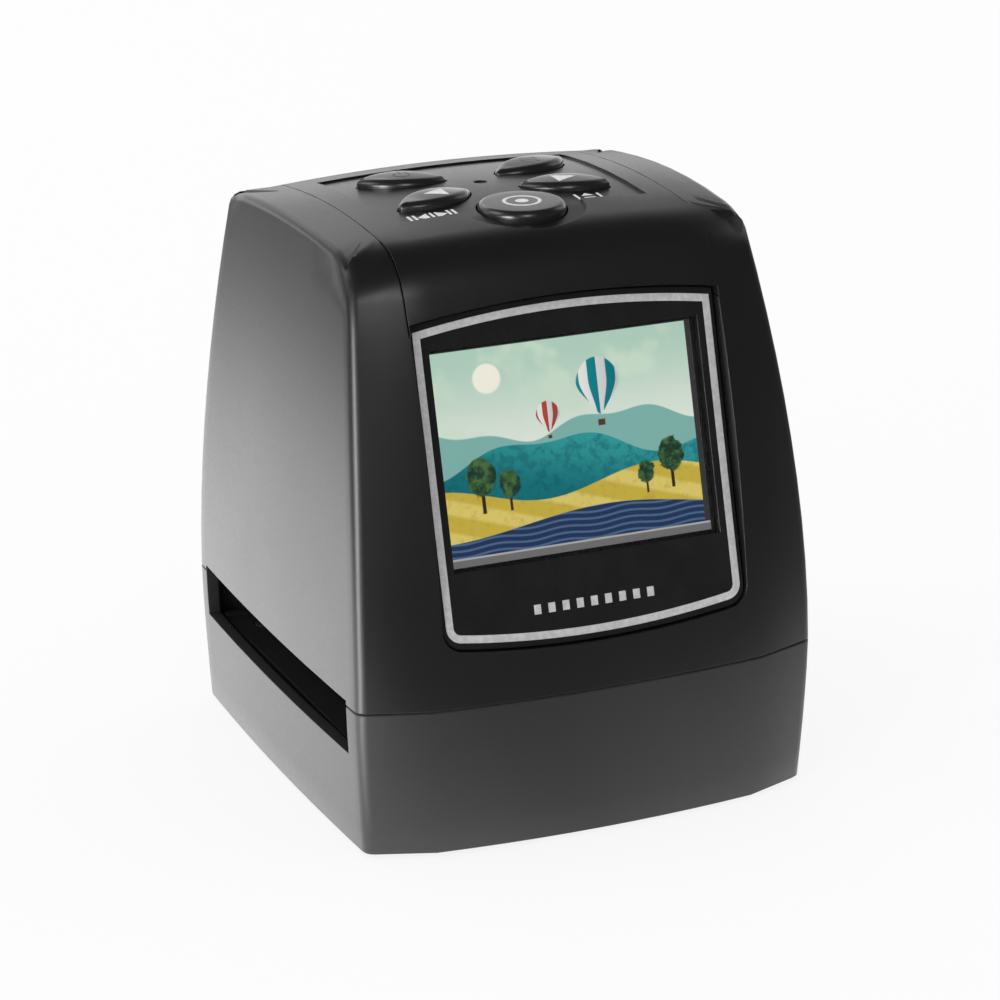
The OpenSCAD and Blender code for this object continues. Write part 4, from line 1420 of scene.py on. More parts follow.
def leaf(length: float, width: float, tip: float, grow: float) -> list[Point2]:
    """Outline of a leaf: two wide arcs joined by a small one at each end.

    Args:
        length: Length of the leaf.
        width: Its width.
        tip: Radius of its ends.
        grow: Distance by which the outline is pushed out.

    Returns:
        The outline's points, anticlockwise.
    """
    a, h = length / 2 - tip, width / 2
    wide = (a * a + h * h - tip * tip) / (2 * (h - tip))
    reach = math.asin(a / (wide - tip))
    end = max(tip + grow, 0.15)
    turn = math.pi / 2 - reach
    tips = [mix(-turn, turn, i / 12) for i in range(13)]
    sweep = [mix(reach, -reach, i / 33) for i in range(1, 33)]
    right = [(a + end * math.cos(t), end * math.sin(t)) for t in tips]
    radius = wide + grow
    upper = [(radius * math.sin(t), radius * math.cos(t) + h - wide) for t in sweep]
    half = right + upper
    return half + [(-x, -y) for x, y in half]


# ------------------------------------------------------------- geometry nodes


class Recipe(Tree):
    """A Geometry Nodes tree with named inputs, run once into a plain mesh."""

    def __init__(self, name: str) -> None:
        """Starts the tree with a material input and a geometry output."""
        super().__init__(bpy.data.node_groups.new(name, "GeometryNodeTree"))
        kind = "NodeSocketGeometry"
        self.tree.interface.new_socket("Geometry", in_out="OUTPUT", socket_type=kind)
        self.entry = self.tree.nodes.new("NodeGroupInput")
        self.exit = self.tree.nodes.new("NodeGroupOutput")
        self.values: dict[str, Any] = {}
        self.finish = self.socket("Finish", "NodeSocketMaterial", None)

    def socket(self, label: str, kind: str, value: Any) -> bpy.types.NodeSocket:
        """Adds a named input.

        Args:
            label: The input's name.
            kind: Its socket type.
            value: The value it is given when the tree runs.

        Returns:
            The socket inside the tree.
        """
        self.tree.interface.new_socket(label, in_out="INPUT", socket_type=kind)
        self.values[label] = value
        return self.entry.outputs[label]

    def length(self, label: str, millimetres: float) -> bpy.types.NodeSocket:
        """Adds a named length."""
        return self.socket(label, "NodeSocketFloat", millimetres * MM)

    def count(self, label: str, number: int) -> bpy.types.NodeSocket:
        """Adds a named whole number."""
        return self.socket(label, "NodeSocketInt", number)

    def maths(self, operation: str, *values: Any) -> bpy.types.NodeSocket:
        """Adds a Math node and gives its result."""
        inputs = dict(enumerate(values))
        return self.node("ShaderNodeMath", {"operation": operation}, inputs).outputs[0]

    def vector(self, x: Any, y: Any, z: Any) -> bpy.types.NodeSocket:
        """Joins three numbers into a vector."""
        return self.node("ShaderNodeCombineXYZ", None, {0: x, 1: y, 2: z}).outputs[0]

    def run(
        self, geometry: bpy.types.NodeSocket, name: str, finish: Finish, place: Matrix
    ) -> bpy.types.Object:
        """Closes the tree, runs it and keeps its plain mesh.

        Args:
            geometry: The tree's last geometry.
            name: The piece's name.
            finish: Its finish.
            place: Where the result goes, in metres.

        Returns:
            The piece, with its place in its mesh and no modifier left.
        """
        real = self.node("GeometryNodeRealizeInstances", None, {0: geometry})
        inputs = {0: real.outputs[0], "Material": self.finish}
        dressed = self.node("GeometryNodeSetMaterial", None, inputs)
        self.tree.links.new(dressed.outputs[0], self.exit.inputs[0])
        self.values["Finish"] = finish.material()
        carrier = add_object(name + "_carrier", bpy.data.meshes.new(name + "_carrier"))
        modifier = carrier.modifiers.new("recipe", "NODES")
        modifier.node_group = self.tree
        for item in self.tree.interface.items_tree:
            if item.item_type == "SOCKET" and item.in_out == "INPUT":
                modifier[item.identifier] = self.values[item.name]
        graph = bpy.context.evaluated_depsgraph_get()
        mesh = bpy.data.meshes.new_from_object(carrier.evaluated_get(graph))
        mesh.name = name
        mesh.transform(place)
        carrier.modifiers.remove(modifier)
        bpy.data.objects.remove(carrier)
        return add_object(name, mesh)


@dataclass(frozen=True)
class BlockRow:
    """A row of equal small blocks, such as contacts, legs or printed dashes."""

    name: str
    number: int
    pitch: float
    size: Triple
    finish: Finish

    def build(self, place: Matrix) -> bpy.types.Object:
        """Makes the row along x, centred on the place.

        Args:
            place: Where the row's middle goes, in metres.

        Returns:
            The row as one plain mesh.
        """
        recipe = Recipe(self.name)
        number = recipe.count("Number", self.number)
        pitch = recipe.length("Pitch", self.pitch)
        sizes = [recipe.length(f"Size {axis}", value) for axis, value in zip("XYZ", self.size)]
        span = recipe.maths("MULTIPLY", recipe.maths("SUBTRACT", number, 1.0), pitch)
        line = recipe.node(
            "GeometryNodeMeshLine",
            {"mode": "OFFSET"},
            {
                "Count": number,
                "Start Location": recipe.vector(recipe.maths("MULTIPLY", span, -0.5), 0.0, 0.0),
                "Offset": recipe.vector(pitch, 0.0, 0.0),
            },
        )
        block = recipe.node("GeometryNodeMeshCube", None, {"Size": recipe.vector(*sizes)})
        inputs = {"Points": line.outputs[0], "Instance": block.outputs[0]}
        copies = recipe.node("GeometryNodeInstanceOnPoints", None, inputs)
        return recipe.run(copies.outputs[0], self.name, self.finish, place)


@dataclass(frozen=True)
class ScatteredParts:
    """Small parts soldered on a grid, some places left empty by a fixed draw."""

    name: str
    columns: int
    rows: int
    pitch: Point2
    size: Triple
    keep: float
    seed: int
    finish: Finish

    def build(self, place: Matrix) -> bpy.types.Object:
        """Makes the parts, standing on the plane of the place.

        Args:
            place: Where the grid's middle goes, in metres.

        Returns:
            The parts as one plain mesh.
        """
        recipe = Recipe(self.name)
        columns, rows = recipe.count("Columns", self.columns), recipe.count("Rows", self.rows)
        step_x = recipe.length("Step X", self.pitch[0])
        step_y = recipe.length("Step Y", self.pitch[1])
        sizes = [recipe.length(f"Size {axis}", value) for axis, value in zip("XYZ", self.size)]
        seed = recipe.count("Seed", self.seed)
        keep = recipe.socket("Keep", "NodeSocketFloat", self.keep)
        grid = recipe.node(
            "GeometryNodeMeshGrid",
            None,
            {
                "Size X": recipe.maths("MULTIPLY", recipe.maths("SUBTRACT", columns, 1.0), step_x),
                "Size Y": recipe.maths("MULTIPLY", recipe.maths("SUBTRACT", rows, 1.0), step_y),
                "Vertices X": columns,
                "Vertices Y": rows,
            },
        )
        draw = recipe.node(
            "FunctionNodeRandomValue", {"data_type": "BOOLEAN"}, {"Probability": keep, "Seed": seed}
        )
        turn = recipe.node(
            "FunctionNodeRandomValue",
            {"data_type": "INT"},
            {4: 0, 5: 1, "Seed": recipe.maths("ADD", seed, 1.0)},
        )
        angle = recipe.maths("MULTIPLY", turn.outputs[2], math.pi / 2)
        block = recipe.node("GeometryNodeMeshCube", None, {"Size": recipe.vector(*sizes)})
        lifted = recipe.node(
            "GeometryNodeTransform",
            None,
            {
                "Geometry": block.outputs[0],
                "Translation": recipe.vector(0.0, 0.0, recipe.maths("MULTIPLY", sizes[2], 0.5)),
            },
        )
        copies = recipe.node(
            "GeometryNodeInstanceOnPoints",
            None,
            {
                "Points": grid.outputs[0],
                "Selection": draw.outputs[3],
                "Instance": lifted.outputs[0],
                "Rotation": recipe.vector(0.0, 0.0, angle),
            },
        )
        return recipe.run(copies.outputs[0], self.name, self.finish, place)


# ---------------------------------------------------------------- assemblies


@dataclass
class Assembly:
    """A group of pieces that is built and dressed together."""

    frame: Mapping[str, Any]
    made: list[str] = field(default_factory=list)
    finishes: ClassVar[Mapping[str, Finish]] = {}

    def build(self) -> None:
        """Gives the group's model nodes their finishes."""
        for name, finish in self.finishes.items():
            finish.dress(self.frame["nodes"][name])
            LOG.info("%s: %s keeps its shape, in %s", type(self).__name__, name, finish.name)

    def keep(
        self, piece: bpy.types.Object, body: str = "root", node: str = "", slot: str = ""
    ) -> None:
        """Books a new piece.

        Args:
            piece: The piece.
            body: The moving body that it rides on.
            node: The model node that it stands for, if any.
            slot: The record's material slot; not used.
        """
        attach(piece, body)
        if node:
            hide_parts(node)
        self.made.append(piece.name)
        faces = len(piece.data.polygons)
        LOG.info("%s: %s, %d faces, on %s", type(self).__name__, piece.name, faces, body)


@dataclass(frozen=True)
class SkinFit:
    """How closely a face of a moulding follows the drawn skin.

    Gaps are in millimetres, facing is the least cosine between the face's
    normal and the skin's, and sharp is the angle in degrees from which an
    edge is kept sharp.
    """

    corner_gap: float
    middle_gap: float
    facing: float
    sharp: float


@dataclass
class Casing(Assembly):
    """Base, housing and top cover, with their feet and screws."""

    form: BodyForm = BodyForm()
    fine: int = 36
    wall_fit: SkinFit = SkinFit(0.4, 0.8, 0.86, 28)
    shoulder_fit: SkinFit = SkinFit(0.9, 1.6, 0.4, 62)
    touch_gap: float = 0.15
    touch_middle: float = 0.3
    fold_facing: float = 0.6
    shoulder_reach: float = 6.5
    shoulder_drop: float = 4.5
    shoulder_in: Point2 = (1.0, 1.5)
    finishes: ClassVar[Mapping[str, Finish]] = {"feet": FOOT_RUBBER, "base_screws": SCREW_ZINC}

    def build(self) -> None:
        """Makes the three mouldings with the smooth skin of the drawn body."""
        lower = SkinField(self.form.base_rings(self.fine))
        upper = SkinField(self.form.upper_rings(self.fine))
        upper.even_out(self.shoulders, self.shoulder_reach * MM)
        for node, name, skin, finish, slot in (
            ("base_shell", "base_moulding", lower, BASE_CHARCOAL, "base_plastic"),
            ("upper_housing", "housing_moulding", upper, HOUSING_BLACK, "housing_plastic"),
            ("top_cover", "cover_moulding", upper, COVER_BLACK, "housing_plastic"),
        ):
            piece = add_object(name, self.moulding(node, name, skin))
            finish.dress(piece)
            self.keep(piece, node=node, slot=slot)
        super().build()

    @cached_property
    def shoulders(self) -> list[Vector]:
        """Middles of the four top corners, in metres."""
        z = self.form.top_z - self.shoulder_drop
        half = self.form.half_w(z) - self.shoulder_in[0]
        inward = self.shoulder_in[1]
        places = (self.form.front_y(z) + inward, self.form.back_y(z) - inward)
        return [Vector((side * half, y, z)) * MM for side in (-1, 1) for y in places]

    def at_shoulder(self, place: Vector) -> bool:
        """Whether a place lies near a shoulder, where the mesh turns in large steps."""
        reach = 2 * self.shoulder_reach * MM
        return any((place - spot).length < reach for spot in self.shoulders)

    def moulding(self, node: str, name: str, skin: SkinField) -> bpy.types.Mesh:
        """Copies a node's mesh, mends its folds and rounds its outer faces' shading.

        Args:
            node: The model node.
            name: The mesh's name.
            skin: Normals of the drawn surface.

        Returns:
            The mesh, with no material yet.
        """
        bm = bmesh.new()
        bm.from_mesh(self.frame["nodes"][node].data)
        bmesh.ops.remove_doubles(bm, verts=bm.verts, dist=2e-6)
        bmesh.ops.dissolve_degenerate(bm, edges=bm.edges, dist=1e-6)
        self.unfold(bm, skin)
        for edge in bm.edges:
            middle = (edge.verts[0].co + edge.verts[1].co) / 2
            fit = self.shoulder_fit if self.at_shoulder(middle) else self.wall_fit
            edge.smooth = edge.calc_face_angle(0.0) < math.radians(fit.sharp)
        for face in bm.faces:
            face.smooth = True
        mesh = bpy.data.meshes.new(name)
        bm.to_mesh(mesh)
        bm.free()
        self.wrap_normals(mesh, skin)
        return mesh

    def unfold(self, bm: bmesh.types.BMesh, skin: SkinField) -> None:
        """Gives other diagonals to faces at a shoulder that turn away from the skin."""

        def folded(face: bmesh.types.BMFace) -> bool:
            """Whether a face's corners touch the skin while it turns away."""
            middle = face.calc_center_median()
            if not self.at_shoulder(middle):
                return False
            if any(skin.at(vert.co)[0] > self.touch_gap * MM for vert in face.verts):
                return False
            distance, normal = skin.at(middle)
            near = distance < self.wall_fit.middle_gap * MM
            return near and face.normal.dot(normal) < self.fold_facing

        turned = {face for face in bm.faces if folded(face)}
        folds = [edge for edge in bm.edges if any(face in turned for face in edge.link_faces)]
        at_fold = set(folds)
        beside = [face for face in bm.faces if any(edge in at_fold for edge in face.edges)]
        bmesh.ops.beautify_fill(bm, faces=beside, edges=folds, method="ANGLE")

    def wrap_normals(self, mesh: bpy.types.Mesh, skin: SkinField) -> None:
        """Gives faces that follow the skin its normals, and leaves the others theirs."""
        normals = [tuple(corner.vector) for corner in mesh.corner_normals]
        spots = [skin.at(vertex.co) for vertex in mesh.vertices]
        for polygon in mesh.polygons:
            at_shoulder = self.at_shoulder(polygon.center)
            fit = self.shoulder_fit if at_shoulder else self.wall_fit
            places = [spots[index] for index in polygon.vertices]
            gap = max(distance for distance, _ in places)
            middle, facing = skin.at(polygon.center)
            near = gap < fit.corner_gap * MM and middle < fit.middle_gap * MM
            touches = gap < self.touch_gap * MM and middle < self.touch_middle * MM
            if near and (at_shoulder and touches or polygon.normal.dot(facing) > fit.facing):
                for loop, (_, normal) in zip(polygon.loop_indices, places):
                    normals[loop] = tuple(normal)
            elif at_shoulder:
                for loop in polygon.loop_indices:
                    normals[loop] = (0.0, 0.0, 0.0)
        mesh.normals_split_custom_set(normals)


@dataclass
class DisplayStack(Assembly):
    """Display panel with its printed border, window and lit picture."""

    space: PanelSpace = PanelSpace()
    border_half: float = 28.1
    border_top: float = 22.8
    border_top_mid: float = 25.1
    border_low: float = -31.0
    border_low_mid: float = -33.3
    border_w: float = 1.35
    border_corner: float = 2.8
    marks_y: float = -27.7
    ink: float = 0.03
    finishes: ClassVar[Mapping[str, Finish]] = {
        "display_lens": LENS_BLACK,
        "display_window": WINDOW_CLEAR,
        "display_gasket": SEAL_FOAM,
        "lcd_frame": TIN_PLATE,
        "lcd_panel": PICTURE,
        "display_bracket": STEEL_PLATE,
        "bracket_screws": SCREW_ZINC,
    }

    def build(self) -> None:
        """Dresses the display's nodes and prints its border and marks."""
        super().build()
        outer = self.border_outline()
        inner = offset_loop(outer, self.border_w)
        ring = MeshKit().ribbon(outer, inner, -self.ink / 2, self.ink)
        piece = ring.move(self.space.matrix()).piece("display_border_print", None)
        PRINT_SILVER.dress(piece)
        self.keep(piece)
        self.perforations()

    def border_outline(self) -> list[Point2]:
        """Outer edge of the printed border, anticlockwise from the lower right."""
        half, r = self.border_half, self.border_corner
        low_rise = self.border_low - self.border_low_mid
        top_rise = self.border_top_mid - self.border_top
        tilt = math.atan(2 * low_rise * (half - r) / (half * half))

        def low(x: float) -> float:
            """Lower arc's height at x."""
            return self.border_low_mid + low_rise * (x / half) ** 2

        cx = half - r
        x_end = cx + r * math.sin(tilt)
        cy = low(x_end) + r * math.cos(tilt)
        corner = [
            (cx + r * math.cos(a), cy + r * math.sin(a))
            for a in (mix(-math.pi / 2 + tilt, 0, i / 8) for i in range(9))
        ]
        top = [
            (x, self.border_top_mid - top_rise * (x / half) ** 2)
            for x in (mix(half, -half, i / 40) for i in range(41))
        ]
        left = [(-x, y) for x, y in reversed(corner)]
        bottom = [(x, low(x)) for x in (mix(-x_end, x_end, i / 40) for i in range(1, 40))]
        return corner + top + left + bottom

    def perforations(self) -> None:
        """Prints a row of film perforations under the window."""
        place = self.space.matrix() @ Matrix.Translation(Vector((0, self.marks_y, 0)) * MM)
        row = BlockRow("film_marks_print", 9, 2.7, (1.3, 1.7, 2 * self.ink), PRINT_SILVER)
        self.keep(row.build(place))


@dataclass
class KeyCluster(Assembly):
    """The five keys on the top, their switches and the lamp between them."""

    form: BodyForm = BodyForm()
    leaf_len: float = 16.2
    leaf_w: float = 8.4
    leaf_h: float = 1.8
    leaf_tip_r: float = 0.8
    leaf_turn: float = 18.5
    round_d: float = 15.8
    round_h: float = 1.25
    recess_depth: float = 0.45
    leaf_x: float = 12.6
    slot_y: float = 2.85
    front_row: float = -4.9
    rear_row: float = 11.3
    round_row: float = -14.8
    label_row: float = -12.35
    dome_r: float = 44.0
    cover_t: float = 2.6
    skirt_gap: float = 1.0
    flange: float = 1.2
    flange_t: float = 0.9
    leaf_room: float = 1.5
    leaf_edge: float = 1.3
    round_edge: float = 1.1
    stem_r: float = 1.5
    pcb_drop: float = 9.6
    switch_h: float = 3.4
    stem_gap: float = 0.8
    ink: Point2 = (-0.02, 0.03)
    finishes: ClassVar[Mapping[str, Finish]] = {
        "round_plunger": PLUNGER_CREAM,
        "front_left_plunger": PLUNGER_CREAM,
        "front_right_plunger": PLUNGER_CREAM,
        "rear_left_plunger": PLUNGER_CREAM,
        "rear_right_plunger": PLUNGER_CREAM,
        "switch_bodies": SWITCH_BLACK,
        "keypad_board": BOARD_GREEN,
        "keypad_screws": SCREW_ZINC,
        "status_led": LAMP_GREEN,
        "light_pipe": GUIDE_SMOKED,
    }

    @property
    def press_z(self) -> float:
        """Height at which the stems meet their plungers."""
        return self.form.top_z - self.pcb_drop + self.switch_h + self.stem_gap

    def build(self) -> None:
        """Makes the caps and prints their marks."""
        super().build()
        for row, offset, turn in (
            ("front", self.front_row, -self.leaf_turn),
            ("rear", self.rear_row, self.leaf_turn),
        ):
            for hand, side in (("left", -1), ("right", 1)):
                self.leaf_key(f"{row}_{hand}", side, self.slot_y + offset, side * turn)
        self.round_key()
        self.key_labels()

    def recess_floor(self, x: float, y: float) -> float:
        """Height of the floor of the keys' recess."""
        return self.form.crown(x, y) - self.recess_depth

    def under_cover(self, x: float, y: float, rx: float, ry: float) -> float:
        """Lowest point of the cover's underside over a key."""
        behind = ry if y > self.form.crown_y else -ry
        return self.form.crown(abs(x) + rx, y + behind) - self.cover_t

    def leaf_key(self, name: str, side: int, y: float, turn: float) -> None:
        """Makes one leaf-shaped key and its mark.

        Args:
            name: Its place, as in the model's node names.
            side: -1 on the left, 1 on the right.
            y: Its centre from front to back.
            turn: Its turn in degrees, anticlockwise from above.
        """
        x = side * self.leaf_x
        base = self.recess_floor(x, y)
        half_len, half_w = self.leaf_len / 2 + self.leaf_room, self.leaf_w / 2 + self.leaf_room
        skirt = self.under_cover(self.leaf_x, y, half_len, half_w) - self.skirt_gap
        shift = Matrix.Translation(Vector((x, y, 0)) * MM)
        place = shift @ Matrix.Rotation(math.radians(turn), 4, "Z")
        low, top = base + 0.3, base + self.leaf_h - 0.04

        def level(grow: float, z: float) -> list[Vector]:
            """Leaf outline grown by a distance, at one height."""
            return lift(leaf(self.leaf_len, self.leaf_w, self.leaf_tip_r, grow), z)

        def domed(ring: Sequence[Vector], share: float, shrink: float = 1.0) -> list[Vector]:
            """Ring lifted by a share of the way to the dome."""
            out = []
            for p in ring:
                px, py = p.x * shrink, p.y * shrink
                out.append(Vector((px, py, mix(low, self._height(px, py, top), share))))
            return out

        shelf = skirt + self.flange_t
        rings = [level(self.flange, skirt), level(self.flange, shelf), level(0.0, shelf)]
        for step in range(15):
            turned = math.radians(mix(0, 90, step / 14))
            inset, share = self.leaf_edge * (1 - math.cos(turned)), math.sin(turned)
            rings.append(domed(level(-inset, 0.0), share))
        flat = level(-self.leaf_edge, 0.0)
        rings += [domed(flat, 1.0, shrink) for shrink in (0.85, 0.65, 0.42, 0.18)]
        kit = MeshKit().loft(rings)
        kit.plate(circle(self.stem_r, 24), self.press_z, skirt + 0.2)
        piece = kit.move(place).piece(name + "_cap")
        KEY_BLACK.dress(piece)
        self.keep(piece, name + "_key", name + "_button", "button_plastic")
        finish = PRINT_WHITE if name.startswith("front") else PRINT_FAINT
        mark = self._leaf_mark(name, side, top).move(shift).piece(name + "_mark", None)
        finish.dress(mark)
        self.keep(mark, name + "_key")

    def _leaf_mark(self, name: str, side: int, top: float) -> MeshKit:
        """Mesh of an arrow for a front key, or of a plain symbol for a rear one."""
        kit = MeshKit()
        if name.startswith("front"):
            tip = 2.1 * side
            outline = [(-0.95 * tip, -2.1), (tip, 0.0), (-0.95 * tip, 2.1)]
            if side < 0:
                outline.reverse()
            self._draped(kit, self._filled(outline, 8), top)
        elif side < 0:
            ring = [math.radians(a) for a in range(125, 125 + 290, 10)]
            self._stroke(kit, [(1.45 * math.cos(t), 1.45 * math.sin(t)) for t in ring], 0.3, top)
            self._stroke(kit, [(0.0, 0.4), (0.0, 1.9)], 0.3, top)
        else:
            for low in (-1.2, 0.0, 1.2):
                self._stroke(kit, [(-1.6, low), (1.6, low)], 0.32, top)
        return kit

    def _height(self, x: float, y: float, top: float) -> float:
        """Height of the dome over a place near the key's middle."""
        return top - (x * x + y * y) / (2 * self.dome_r)

    def _filled(self, outline: Sequence[Point2], steps: int) -> list[Point2]:
        """Outline with extra points along its sides."""
        out = []
        for i, start in enumerate(outline):
            end = outline[(i + 1) % len(outline)]
            shares = [k / steps for k in range(steps)]
            out += [(mix(start[0], end[0], t), mix(start[1], end[1], t)) for t in shares]
        return out

    def _draped(self, kit: MeshKit, outline: Sequence[Point2], top: float) -> None:
        """Adds a thin plate that follows the dome."""
        cx = sum(p[0] for p in outline) / len(outline)
        cy = sum(p[1] for p in outline) / len(outline)
        under, over = self.ink
        layers = []
        for share, rise in ((1.0, under), (1.0, over), (0.6, over), (0.2, over)):
            ring = [(mix(cx, px, share), mix(cy, py, share)) for px, py in outline]
            layers.append([Vector((px, py, self._height(px, py, top) + rise)) for px, py in ring])
        kit.loft(layers)

    def _stroke(self, kit: MeshKit, path: Sequence[Point2], width: float, top: float) -> None:
        """Adds a line of ink of one width along a path."""
        left, right = [], []
        for i, point in enumerate(path):
            a, b = Vector(path[max(i - 1, 0)]), Vector(path[min(i + 1, len(path) - 1)])
            way = (b - a).normalized()
            side = Vector((-way.y, way.x)) * (width / 2)
            left.append(Vector(point) + side)
            right.append(Vector(point) - side)
        outline = [tuple(p) for p in right] + [tuple(p) for p in reversed(left)]
        first, count = len(kit.points), len(outline)
        for rise in self.ink:
            kit.points += [Vector((px, py, self._height(px, py, top) + rise)) for px, py in outline]
        for i in range(count):
            j = (i + 1) % count
            kit.faces.append((first + i, first + j, first + count + j, first + count + i))
        half = len(path)
        for i in range(half - 1):
            m = 2 * half - 1 - i
            for start, turned in ((first, True), (first + count, False)):
                quad = (start + i, start + i + 1, start + m - 1, start + m)
                kit.faces.append(tuple(reversed(quad)) if turned else quad)

    def key_labels(self) -> None:
        """Prints plain signs on the cover beside the front keys."""
        tall = [(0.0, -1.6), (2.1, 0.0), (0.0, 1.6)]
        turned = [(-px, py) for px, py in reversed(tall)]
        flat = [(-1.2, 0.0), (1.2, 0.0), (0.0, 1.5)]
        upset = [(px, -py) for px, py in reversed(flat)]
        cy = self.slot_y + self.label_row
        arrows = ((0.75, 0.0, tall), (-0.75, 0.0, turned))
        peaks = ((0.0, 0.45, flat), (0.0, -0.45, upset))
        for name, cx, signs, bars in (
            ("left_label", -16.0, arrows, (-4.2, -3.2, 0.0, 3.2, 4.2)),
            ("right_label", 14.0, peaks, (-2.2, 2.2)),
        ):
            kit = MeshKit()
            outlines = [[(px + dx, py + dy) for px, py in sign] for dx, dy, sign in signs]
            for bar in bars:
                left, right = bar - 0.25, bar + 0.25
                outlines.append([(left, -1.6), (right, -1.6), (right, 1.6), (left, 1.6)])
            for outline in outlines:
                spots = [(cx + px, cy + py) for px, py in self._filled(outline, 3)]
                kit.loft([
                    [Vector((*spot, self.recess_floor(*spot) + rise)) for spot in spots]
                    for rise in self.ink
                ])
            piece = kit.piece(name, None)
            PRINT_WHITE.dress(piece)
            self.keep(piece)

    def round_key(self) -> None:
        """Makes the round key with its stepped rim, and prints a ring on it."""
        y = self.slot_y + self.round_row
        base = self.recess_floor(0, y)
        r = self.round_d / 2
        brim = r + self.flange
        skirt = self.under_cover(0, y, 0, brim) - self.skirt_gap
        top, shelf = base + self.round_h, skirt + self.flange_t
        profile = [(self.stem_r, self.press_z), (self.stem_r, skirt)]
        profile += [(brim, skirt), (brim, shelf), (r, shelf)]
        for step in range(13):
            turned = math.radians(90 * step / 12)
            inset = self.round_edge * (1 - math.cos(turned)) ** 0.9
            profile.append((r - inset, base + (self.round_h - 0.03) * math.sin(turned)))
        profile += [(r * 0.6, top - 0.02), (r * 0.25, top)]
        rings = [lift(circle(radius, 96), z) for radius, z in profile]
        place = Matrix.Translation(Vector((0, y, 0)) * MM)
        piece = MeshKit().loft(rings).move(place).piece("round_cap")
        KEY_BLACK.dress(piece)
        self.keep(piece, "round_key", "round_button", "button_plastic")
        ring = MeshKit().ribbon(circle(3.5, 64), circle(2.85, 64), top - 0.06, top + 0.01)
        ring.plate(circle(1.2, 32), top - 0.06, top + 0.01)
        mark = ring.move(place).piece("round_mark", None)
        PRINT_WHITE.dress(mark)
        self.keep(mark, "round_key")


@dataclass
class FilmPath(Assembly):
    """Deck, gate and light under the film channel."""

    finishes: ClassVar[Mapping[str, Finish]] = {
        "film_deck": CHANNEL_BLACK,
        "deck_screws": SCREW_ZINC,
        "light_diffuser": OPAL_ACRYLIC,
        "light_box": REFLECTOR_WHITE,
        "led_board": BOARD_WHITE,
        "leds": LAMP_WHITE,
        "film_gate": CHANNEL_BLACK,
    }


@dataclass
class Optics(Assembly):
    """Lens tower, lens and sensor."""

    finishes: ClassVar[Mapping[str, Finish]] = {
        "lens_tower": CHANNEL_BLACK,
        "tower_screws": SCREW_ZINC,
        "lens_barrel": BARREL_BLACK,
        "front_lens": LENS_GLASS,
        "rear_lens": LENS_GLASS,
        "lens_retainers": BARREL_BLACK,
        "sensor_holder": CHANNEL_BLACK,
        "ir_filter": FILTER_GLASS,
        "image_sensor": CHIP_EPOXY,
        "sensor_board": BOARD_GREEN,
    }


@dataclass
class Electronics(Assembly):
    """Main board with its chips, sockets and standoffs."""

    chip_leg: Triple = (0.3, 1.1, 0.5)
    leg_out: float = 0.3
    leg_up: float = 0.25
    finishes: ClassVar[Mapping[str, Finish]] = {
        "board_standoffs": BRASS,
        "board_screws": SCREW_ZINC,
        "main_board": BOARD_GREEN,
        "processor_chip": CHIP_EPOXY,
        "memory_chips": CHIP_EPOXY,
        "usb_socket": TIN_PLATE,
        "card_slot": TIN_PLATE,
        "board_connectors": PLUNGER_CREAM,
        "keypad_cable": RIBBON_AMBER,
        "display_cable": RIBBON_AMBER,
    }

    def build(self) -> None:
        """Dresses the boards and solders the small parts on."""
        super().build()
        low, high = (Vector(corner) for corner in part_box("processor_chip"))
        centre = (low + high) / 2
        reach = (high.x - low.x) / 2 + self.leg_out * MM
        foot = Matrix.Translation(Vector((centre.x, centre.y, low.z + self.leg_up * MM)))
        for index, angle in enumerate((0, 90, 180, 270)):
            row = BlockRow(f"processor_legs_{index}", 16, 0.8, self.chip_leg, TIN_PLATE)
            place = foot @ Matrix.Rotation(math.radians(angle), 4, "Z")
            self.keep(row.build(place @ Matrix.Translation(Vector((0, reach, 0)))))
        low, high = (Vector(corner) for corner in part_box("main_board"))
        middle = (low + high) / 2
        for name, size, seed, x, y, finish in (
            ("ceramic_parts", (1.6, 0.8, 0.7), 7, -0.014, -0.016, PLUNGER_CREAM),
            ("resistor_parts", (1.2, 0.6, 0.4), 11, 0.018, -0.017, CHIP_EPOXY),
        ):
            parts = ScatteredParts(name, 7, 3, (2.6, 2.2), size, 0.7, seed, finish)
            self.keep(parts.build(Matrix.Translation(Vector((middle.x + x, middle.y + y, high.z)))))


# ---------------------------------------------------------------------- studio


@dataclass(frozen=True)
class SoftBox:
    """A square studio lamp."""

    name: str
    place: Triple
    size: Point2
    radiance: float
    target: Triple = (0, 0, 0.05)

    def hang(self) -> None:
        """Makes the lamp and turns it to its target."""
        light = bpy.data.lights.new(self.name, "AREA")
        light.shape = "RECTANGLE"
        light.size, light.size_y = self.size
        light.energy = math.pi * self.radiance * self.size[0] * self.size[1]
        lamp = add_object(self.name, light)
        lamp.location = self.place
        way = Vector(self.target) - Vector(self.place)
        lamp.rotation_euler = way.to_track_quat("-Z", "Y").to_euler()


@dataclass(frozen=True)
class Gleam:
    """A round patch of light in the surroundings that only reflections meet.

    It lies in a direction, and grows from the cosine at its rim to the cosine
    at its core.
    """

    way: Triple
    rim: float
    core: float
    light: float

    def glow(self, across: Wire, depth: Wire, height: Wire) -> Wire:
        """Its light in the direction with the given parts."""
        x, y, z = self.way
        return (across * x + depth * y + height * z).ramp(self.rim, self.core, 0.0, self.light)


